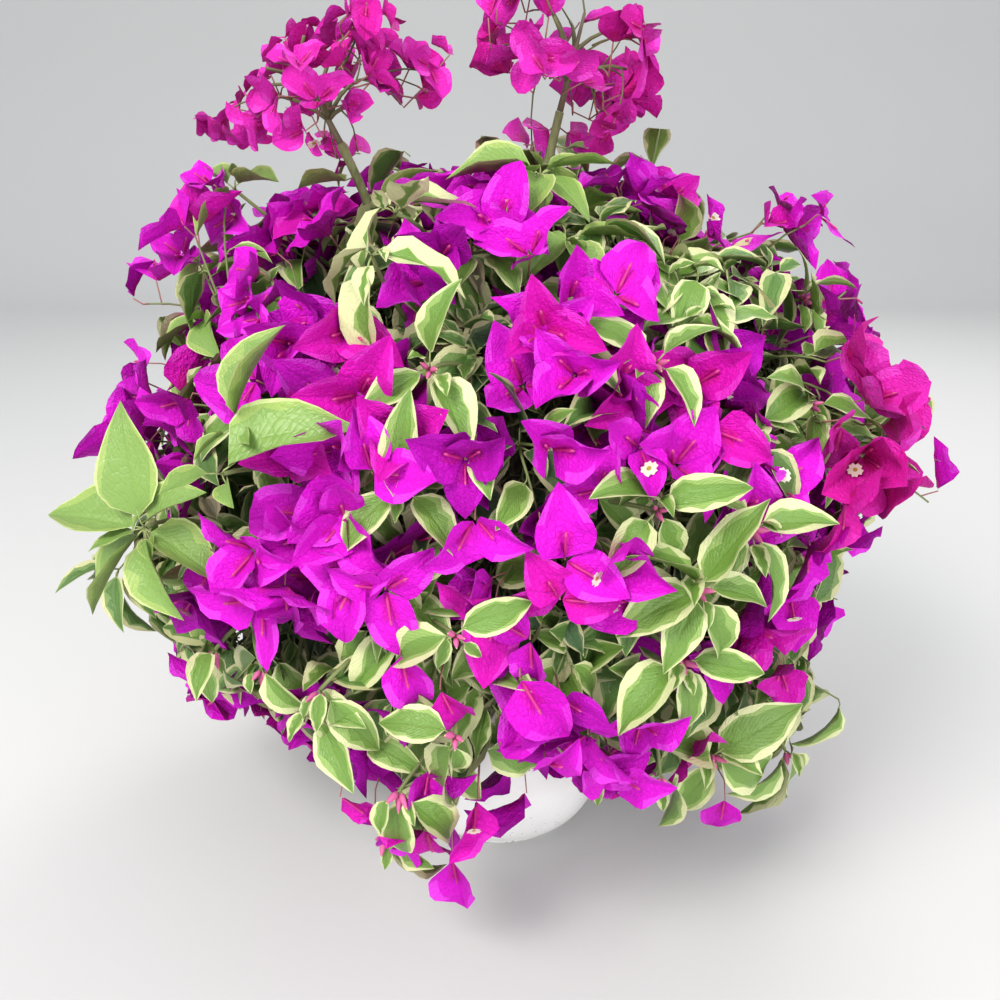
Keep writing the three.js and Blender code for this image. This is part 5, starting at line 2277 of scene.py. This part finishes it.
@dataclass(frozen=True)
class Pot:
    """The white bowl on its low round foot."""

    height: float = 0.14
    rim_radius: float = 0.09
    foot_radius: float = 0.054
    foot_height: float = 0.006
    foot_step: float = 0.002
    wall: float = 0.0032
    floor: float = 0.005
    lip_width: float = 0.004
    lip_height: float = 0.009
    lip_squareness: float = 0.7
    foot_round: float = 0.0012
    bowl_steps: int = 22
    turns: int = 96

    @classmethod
    def bowl(cls, share: float, draw_in: float, floor: float) -> Pair:
        """Gives the bowl's radius and height at a share of the way up its wall.

        Args:
            share: The share of the way up.
            draw_in: How far inside the outer face.
            floor: How far above the foot the curve starts.

        Returns:
            The radius and the height.
        """
        start = cls.foot_radius + cls.foot_step
        turn = share * math.pi / 2
        foot = cls.foot_height + floor
        radius = start + (cls.rim_radius - start) * math.sin(turn) - draw_in
        return radius, foot + (cls.height - foot) * (1 - math.cos(turn))

    @classmethod
    def outer_radius(cls, height: float) -> float:
        """Gives the pot's outer radius.

        Args:
            height: The height where it is.

        Returns:
            The radius there.
        """
        part = min(max((height - cls.foot_height) / (cls.height - cls.foot_height), 0), 1)
        share = math.acos(1 - part) / (math.pi / 2)
        lip = cls.lip_width if height > cls.height - 2 * cls.lip_height else 0.0
        return cls.bowl(share, 0, 0)[0] + lip

    def _profile(self) -> list[Pair]:
        """Gives the outline that is turned: foot, bowl, rolled lip and inside.

        Returns:
            The radius and height of each point.
        """
        soft = self.foot_round
        outline = [(0.0, 0.0)]
        for i in range(5):
            turn = i / 4 * math.pi / 2
            outline.append((self.foot_radius - soft + soft * math.sin(turn), soft - soft * math.cos(turn)))
        outline.append((self.foot_radius, self.foot_height))
        lip_start = self.height - self.lip_height
        for i in range(self.bowl_steps + 1):
            radius, height = self.bowl(i / self.bowl_steps, 0, 0)
            if height < lip_start - 0.001:
                outline.append((radius, height))
        middle = (self.rim_radius - self.wall + self.rim_radius + self.lip_width) / 2
        half_width = (self.lip_width + self.wall) / 2
        half_height = self.lip_height / 2
        for i in range(13):
            turn = -math.pi / 2 + i / 12 * math.pi * 1.5
            sides = (math.cos(turn), math.sin(turn))
            out, up = (math.copysign(abs(side) ** self.lip_squareness, side) for side in sides)
            outline.append((middle + half_width * out, self.height - half_height + half_height * up))
        for i in range(self.bowl_steps, -1, -1):
            radius, height = self.bowl(i / self.bowl_steps, self.wall, self.floor)
            if height < self.height - half_height - 0.001:
                outline.append((radius, height))
        outline.append((0.0, self.foot_height + self.floor))
        return outline

    def build(self) -> Piece:
        """Turns the pot.

        Returns:
            The piece.
        """
        bm = turned_profile(self._profile(), self.turns)
        piece = riding(smooth_object("pot_bowl", bm, PotFinish().material()))
        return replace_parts(piece, "pot")


def turned_profile(profile: Sequence[Pair], turns: int) -> BMesh:
    """Turns a profile of radius and height round the upright axis.

    Args:
        profile: Radius and height of each point, from axis to axis.
        turns: How many steps the full turn has.

    Returns:
        The closed shape, with its faces outwards.
    """
    bm = bmesh.new()
    verts = [bm.verts.new((radius, 0.0, height)) for radius, height in profile]
    edges = [bm.edges.new(pair) for pair in zip(verts, verts[1:])]
    bmesh.ops.spin(
        bm, geom=verts + edges, cent=(0, 0, 0), axis=(0, 0, 1), dvec=(0, 0, 0),
        angle=2 * math.pi, steps=turns, use_merge=True,
    )
    bmesh.ops.remove_doubles(bm, verts=bm.verts, dist=1e-6)
    bmesh.ops.recalc_face_normals(bm, faces=bm.faces)
    return bm


@dataclass(frozen=True)
class Soil:
    """The potting soil, crumbly on top and heaped a little round the trunk."""

    top: float = 0.122
    slack: float = 0.0005
    crowning: float = 0.0015
    heap: float = 0.026
    roughness: float = 0.0012
    turns: int = 90
    crumbs: int = 320
    crumb_size: Pair = (0.0012, 0.0042)
    seed: int = 19

    def build(self) -> Piece:
        """Turns the soil and roughens its top.

        Returns:
            The piece.
        """
        profile = [(0.0, Pot.foot_height + Pot.floor + GAP)]
        for i in range(Pot.bowl_steps + 1):
            radius, height = Pot.bowl(i / Pot.bowl_steps, Pot.wall + self.slack, Pot.floor)
            if height + GAP < self.top - self.crowning:
                profile.append((radius, height + GAP))
        edge = profile[-1][0]
        for i in range(31):
            share = i / 30
            radius = edge * (1 - share)
            rise = self.crowning * min(1.0, (edge - radius) / (edge - self.heap))
            profile.append((radius, self.top - self.crowning + rise))
        bm = turned_profile(profile, self.turns)
        for vert in bm.verts:
            level = math.hypot(vert.co.x, vert.co.y)
            if vert.co.z > self.top - self.crowning - 1e-5 and level < edge - 0.001:
                rough = noise.noise(vert.co * 210) + 0.6 * noise.noise(vert.co * 520)
                vert.co.z += self.roughness * (rough - 0.5)
        material = SoilFinish().material()
        piece = riding(smooth_object("potting_soil", bm, material))
        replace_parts(piece, "soil")
        self._scatter_crumbs(edge, material)
        return piece

    def _scatter_crumbs(self, edge: float, material: Material) -> None:
        """Scatters loose crumbs over the top.

        Args:
            edge: The radius of the top.
            material: The soil's material.
        """
        bm = bmesh.new()
        bmesh.ops.create_icosphere(bm, subdivisions=1, radius=0.5)
        for vert in bm.verts:
            vert.co *= 1 + 0.35 * noise.noise(vert.co * 3)
        stamp = Stamp.from_bmesh(bm)
        piece = StampedPiece("soil_crumbs", "soil", [material])
        draw = SeededStream(self.seed)
        for _ in range(self.crumbs):
            radius = (edge - 0.003) * math.sqrt(draw.between(0.08, 1))
            turn = draw.between(0, 2 * math.pi)
            size = draw.between(*self.crumb_size)
            level = (radius * math.cos(turn), radius * math.sin(turn))
            root = np.array((*level, self.top - self.crowning))
            piece.add(stamp, facing(draw.direction(), draw.direction(), size), root)
        piece.build()


@dataclass(frozen=True)
class Bark:
    """How the bark of one kind of limb is modelled."""

    piece: str
    slot: str
    sides: int
    rings: int
    relief: float
    seed: float = 0.0
    seed_step: float = 0.0
    flare: float = 0.0
    node_swell: float = 0.0


@dataclass
class BarkLimbs:
    """Trunk, boughs and canes with the relief of their bark."""

    skeleton: Skeleton
    trunk: Bark = Bark("trunk_bark", "bark", 44, 60, 0.0011, seed=3.0, flare=0.006)
    boughs: Bark = Bark("bough_bark", "bark", 16, 44, 0.00045, seed_step=7.0)
    canes: Bark = Bark("green_canes", "cane", 14, 70, 0.00022, seed_step=31.0, node_swell=0.0005)
    flare_height: float = 0.009
    roots: int = 5
    root_depth: float = 0.28
    root_height: float = 0.014
    node_every: float = 0.034
    node_length: float = 0.003

    def build(self) -> None:
        """Builds the three pieces of wood, each in place of its solids."""
        brown, green = BarkFinish().material(), GreenBarkFinish().material()
        plant = self.skeleton
        kinds = (
            (self.trunk, [plant.trunk], brown), (self.boughs, plant.boughs, brown),
            (self.canes, plant.canes, green),
        )
        for bark, limbs, material in kinds:
            bm = bmesh.new()
            for number, limb in enumerate(limbs):
                self._sweep(bm, bark, limb, bark.seed + bark.seed_step * number)
            bmesh.ops.recalc_face_normals(bm, faces=bm.faces)
            piece = riding(smooth_object(bark.piece, bm, material))
            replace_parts(piece, *(limb.name for limb in limbs))

    def _sweep(self, bm: BMesh, bark: Bark, limb: Limb, seed: float) -> None:
        """Sweeps a closed limb along its curve by extruding ring after ring.

        Args:
            bm: What it is added to.
            bark: How its bark is modelled.
            limb: The limb.
            seed: What sets its relief apart.
        """
        sides, curve = bark.sides, limb.curve
        made = bmesh.ops.create_circle(bm, cap_ends=True, segments=sides, radius=1.0)["verts"]
        ring = sorted(made, key=lambda v: math.atan2(v.co.y, v.co.x))
        edges = list({edge for vert in ring for edge in vert.link_edges})
        normal = square(curve.tangent(0), 0.0)
        for step in range(bark.rings + 1):
            share = step / bark.rings
            if step:
                out = bmesh.ops.extrude_edge_only(bm, edges=edges)["geom"]
                fresh = {g for g in out if isinstance(g, bmesh.types.BMVert)}
                edges = [g for g in out if isinstance(g, bmesh.types.BMEdge)]
                ring = [
                    next(e.other_vert(v) for e in v.link_edges if e.other_vert(v) in fresh)
                    for v in ring
                ]
            along = curve.tangent(share)
            normal = unit(normal - along * float(normal @ along))
            other = np.cross(along, normal)
            centre = curve.at(share)
            for i, vert in enumerate(ring):
                turn = i * 2 * math.pi / sides
                spoke = normal * math.cos(turn) + other * math.sin(turn)
                vert.co = Vector(centre + spoke * self._radius(bark, limb, seed, share, turn))
        bmesh.ops.edgeloop_fill(bm, edges=edges)

    def _radius(self, bark: Bark, limb: Limb, seed: float, share: float, turn: float) -> float:
        """Gives a limb's radius, with its root flare, its nodes and the ridges of its bark.

        Args:
            bark: How its bark is modelled.
            limb: The limb.
            seed: What sets its relief apart.
            share: A share of its length.
            turn: Radians about it.

        Returns:
            The radius there.
        """
        along = share * limb.curve.length
        flare = bark.flare * math.exp(-along / self.flare_height)
        fade = math.exp(-along / self.root_height)
        roots = 1 + self.root_depth * math.cos(self.roots * turn) * fade
        near = ((along / self.node_every) % 1.0 - 0.5) * self.node_every
        swell = bark.node_swell * math.exp(-((near / self.node_length) ** 2))
        around = Vector((math.cos(turn) * 2.2, math.sin(turn) * 2.2, along * 38 + seed))
        ridges = 0.75 * (1 - abs(noise.noise(around)) * 2) + 0.35 * noise.noise(around * 3.1) - 0.4
        return limb.radius(share) + flare * roots + swell + bark.relief * ridges


# Studio.


@dataclass(frozen=True)
class Studio:
    """A plain pale floor that sweeps up behind the plant, soft lights and the camera."""

    view: View
    half_width: float = 5.0
    turns: int = 16
    front: float = -3.0
    back: float = 2.6
    sweep: float = 0.9
    wall: float = 3.6
    grey: Colour = (0.6, 0.6, 0.59)
    sky: Colour = (0.92, 0.95, 1.0)
    sky_strength: float = 0.8
    lit_height: float = 0.25

    def build(self) -> None:
        """Sets the stage."""
        self._floor()
        self._camera()
        self._light("key", (-1.1, -1.7, 2.1), 1.1, 70.0, (1.0, 0.98, 0.95))
        self._light("fill", (1.2, -2.0, 0.65), 1.6, 34.0, (0.98, 0.98, 1.0))
        self._light("rim", (0.7, 1.6, 2.0), 1.2, 24.0, (1.0, 0.98, 0.95))
        world = bpy.data.worlds.new("studio")
        world.use_nodes = True
        background = world.node_tree.nodes["Background"]
        background.inputs["Color"].default_value = (*self.sky, 1.0)
        background.inputs["Strength"].default_value = self.sky_strength
        bpy.context.scene.world = world
        bpy.context.scene.view_settings.view_transform = "Standard"

    def _floor(self) -> None:
        """Draws the floor from an edge that is extruded back, up the sweep and up the wall."""
        bm = bmesh.new()
        left = bm.verts.new((-self.half_width, self.front, 0.0))
        right = bm.verts.new((self.half_width, self.front, 0.0))
        edge = bm.edges.new((left, right))
        steps = [(0.0, self.back - self.front, 0.0)]
        for i in range(self.turns):
            low, high = i / self.turns * math.pi / 2, (i + 1) / self.turns * math.pi / 2
            back, up = math.sin(high) - math.sin(low), math.cos(low) - math.cos(high)
            steps.append((0.0, self.sweep * back, self.sweep * up))
        steps.append((0.0, 0.0, self.wall))
        for step in steps:
            out = bmesh.ops.extrude_edge_only(bm, edges=[edge])["geom"]
            edge = next(g for g in out if isinstance(g, bmesh.types.BMEdge))
            bmesh.ops.translate(bm, verts=list(edge.verts), vec=step)
        bmesh.ops.recalc_face_normals(bm, faces=bm.faces)
        floor = smooth_object("studio_floor", bm, Finish("studio_floor", self.grey).material())
        bpy.context.scene.collection.objects.link(floor)

    def _camera(self) -> None:
        """Stands the camera where the picture was taken from."""
        lens = bpy.data.cameras.new("camera")
        lens.sensor_fit = "HORIZONTAL"
        lens.angle = self.view.angle * DEG
        camera = bpy.data.objects.new("camera", lens)
        camera.location = self.view.place
        camera.rotation_euler = (math.pi / 2 - self.view.down * DEG, 0.0, 0.0)
        bpy.context.scene.collection.objects.link(camera)
        bpy.context.scene.camera = camera

    def _light(self, name: str, place: Place, size: float, power: float, colour: Colour) -> None:
        """Hangs a square soft light that points at the crown.

        Args:
            name: Its name.
            place: Where it hangs.
            size: How wide it is.
            power: Its power in watts.
            colour: Its colour.
        """
        lamp = bpy.data.lights.new(name, "AREA")
        lamp.size = size
        lamp.energy = power
        lamp.color = colour
        light = bpy.data.objects.new(name, lamp)
        light.location = place
        way = Vector((0.0, 0.0, self.lit_height)) - Vector(place)
        light.rotation_euler = way.to_track_quat("-Z", "Y").to_euler()
        bpy.context.scene.collection.objects.link(light)


def main() -> None:
    """Builds the plant, its pot and the studio, in order."""
    logging.basicConfig(level=logging.INFO, format="%(name)s: %(message)s")
    view = View()
    Studio(view).build()
    skeleton = Skeleton(Crown())
    Pot().build()
    Soil().build()
    BarkLimbs(skeleton).build()
    foliage = Foliage(skeleton, view, Blades())
    foliage.grow()
    foliage.build()


if __name__ == "__main__":
    main()
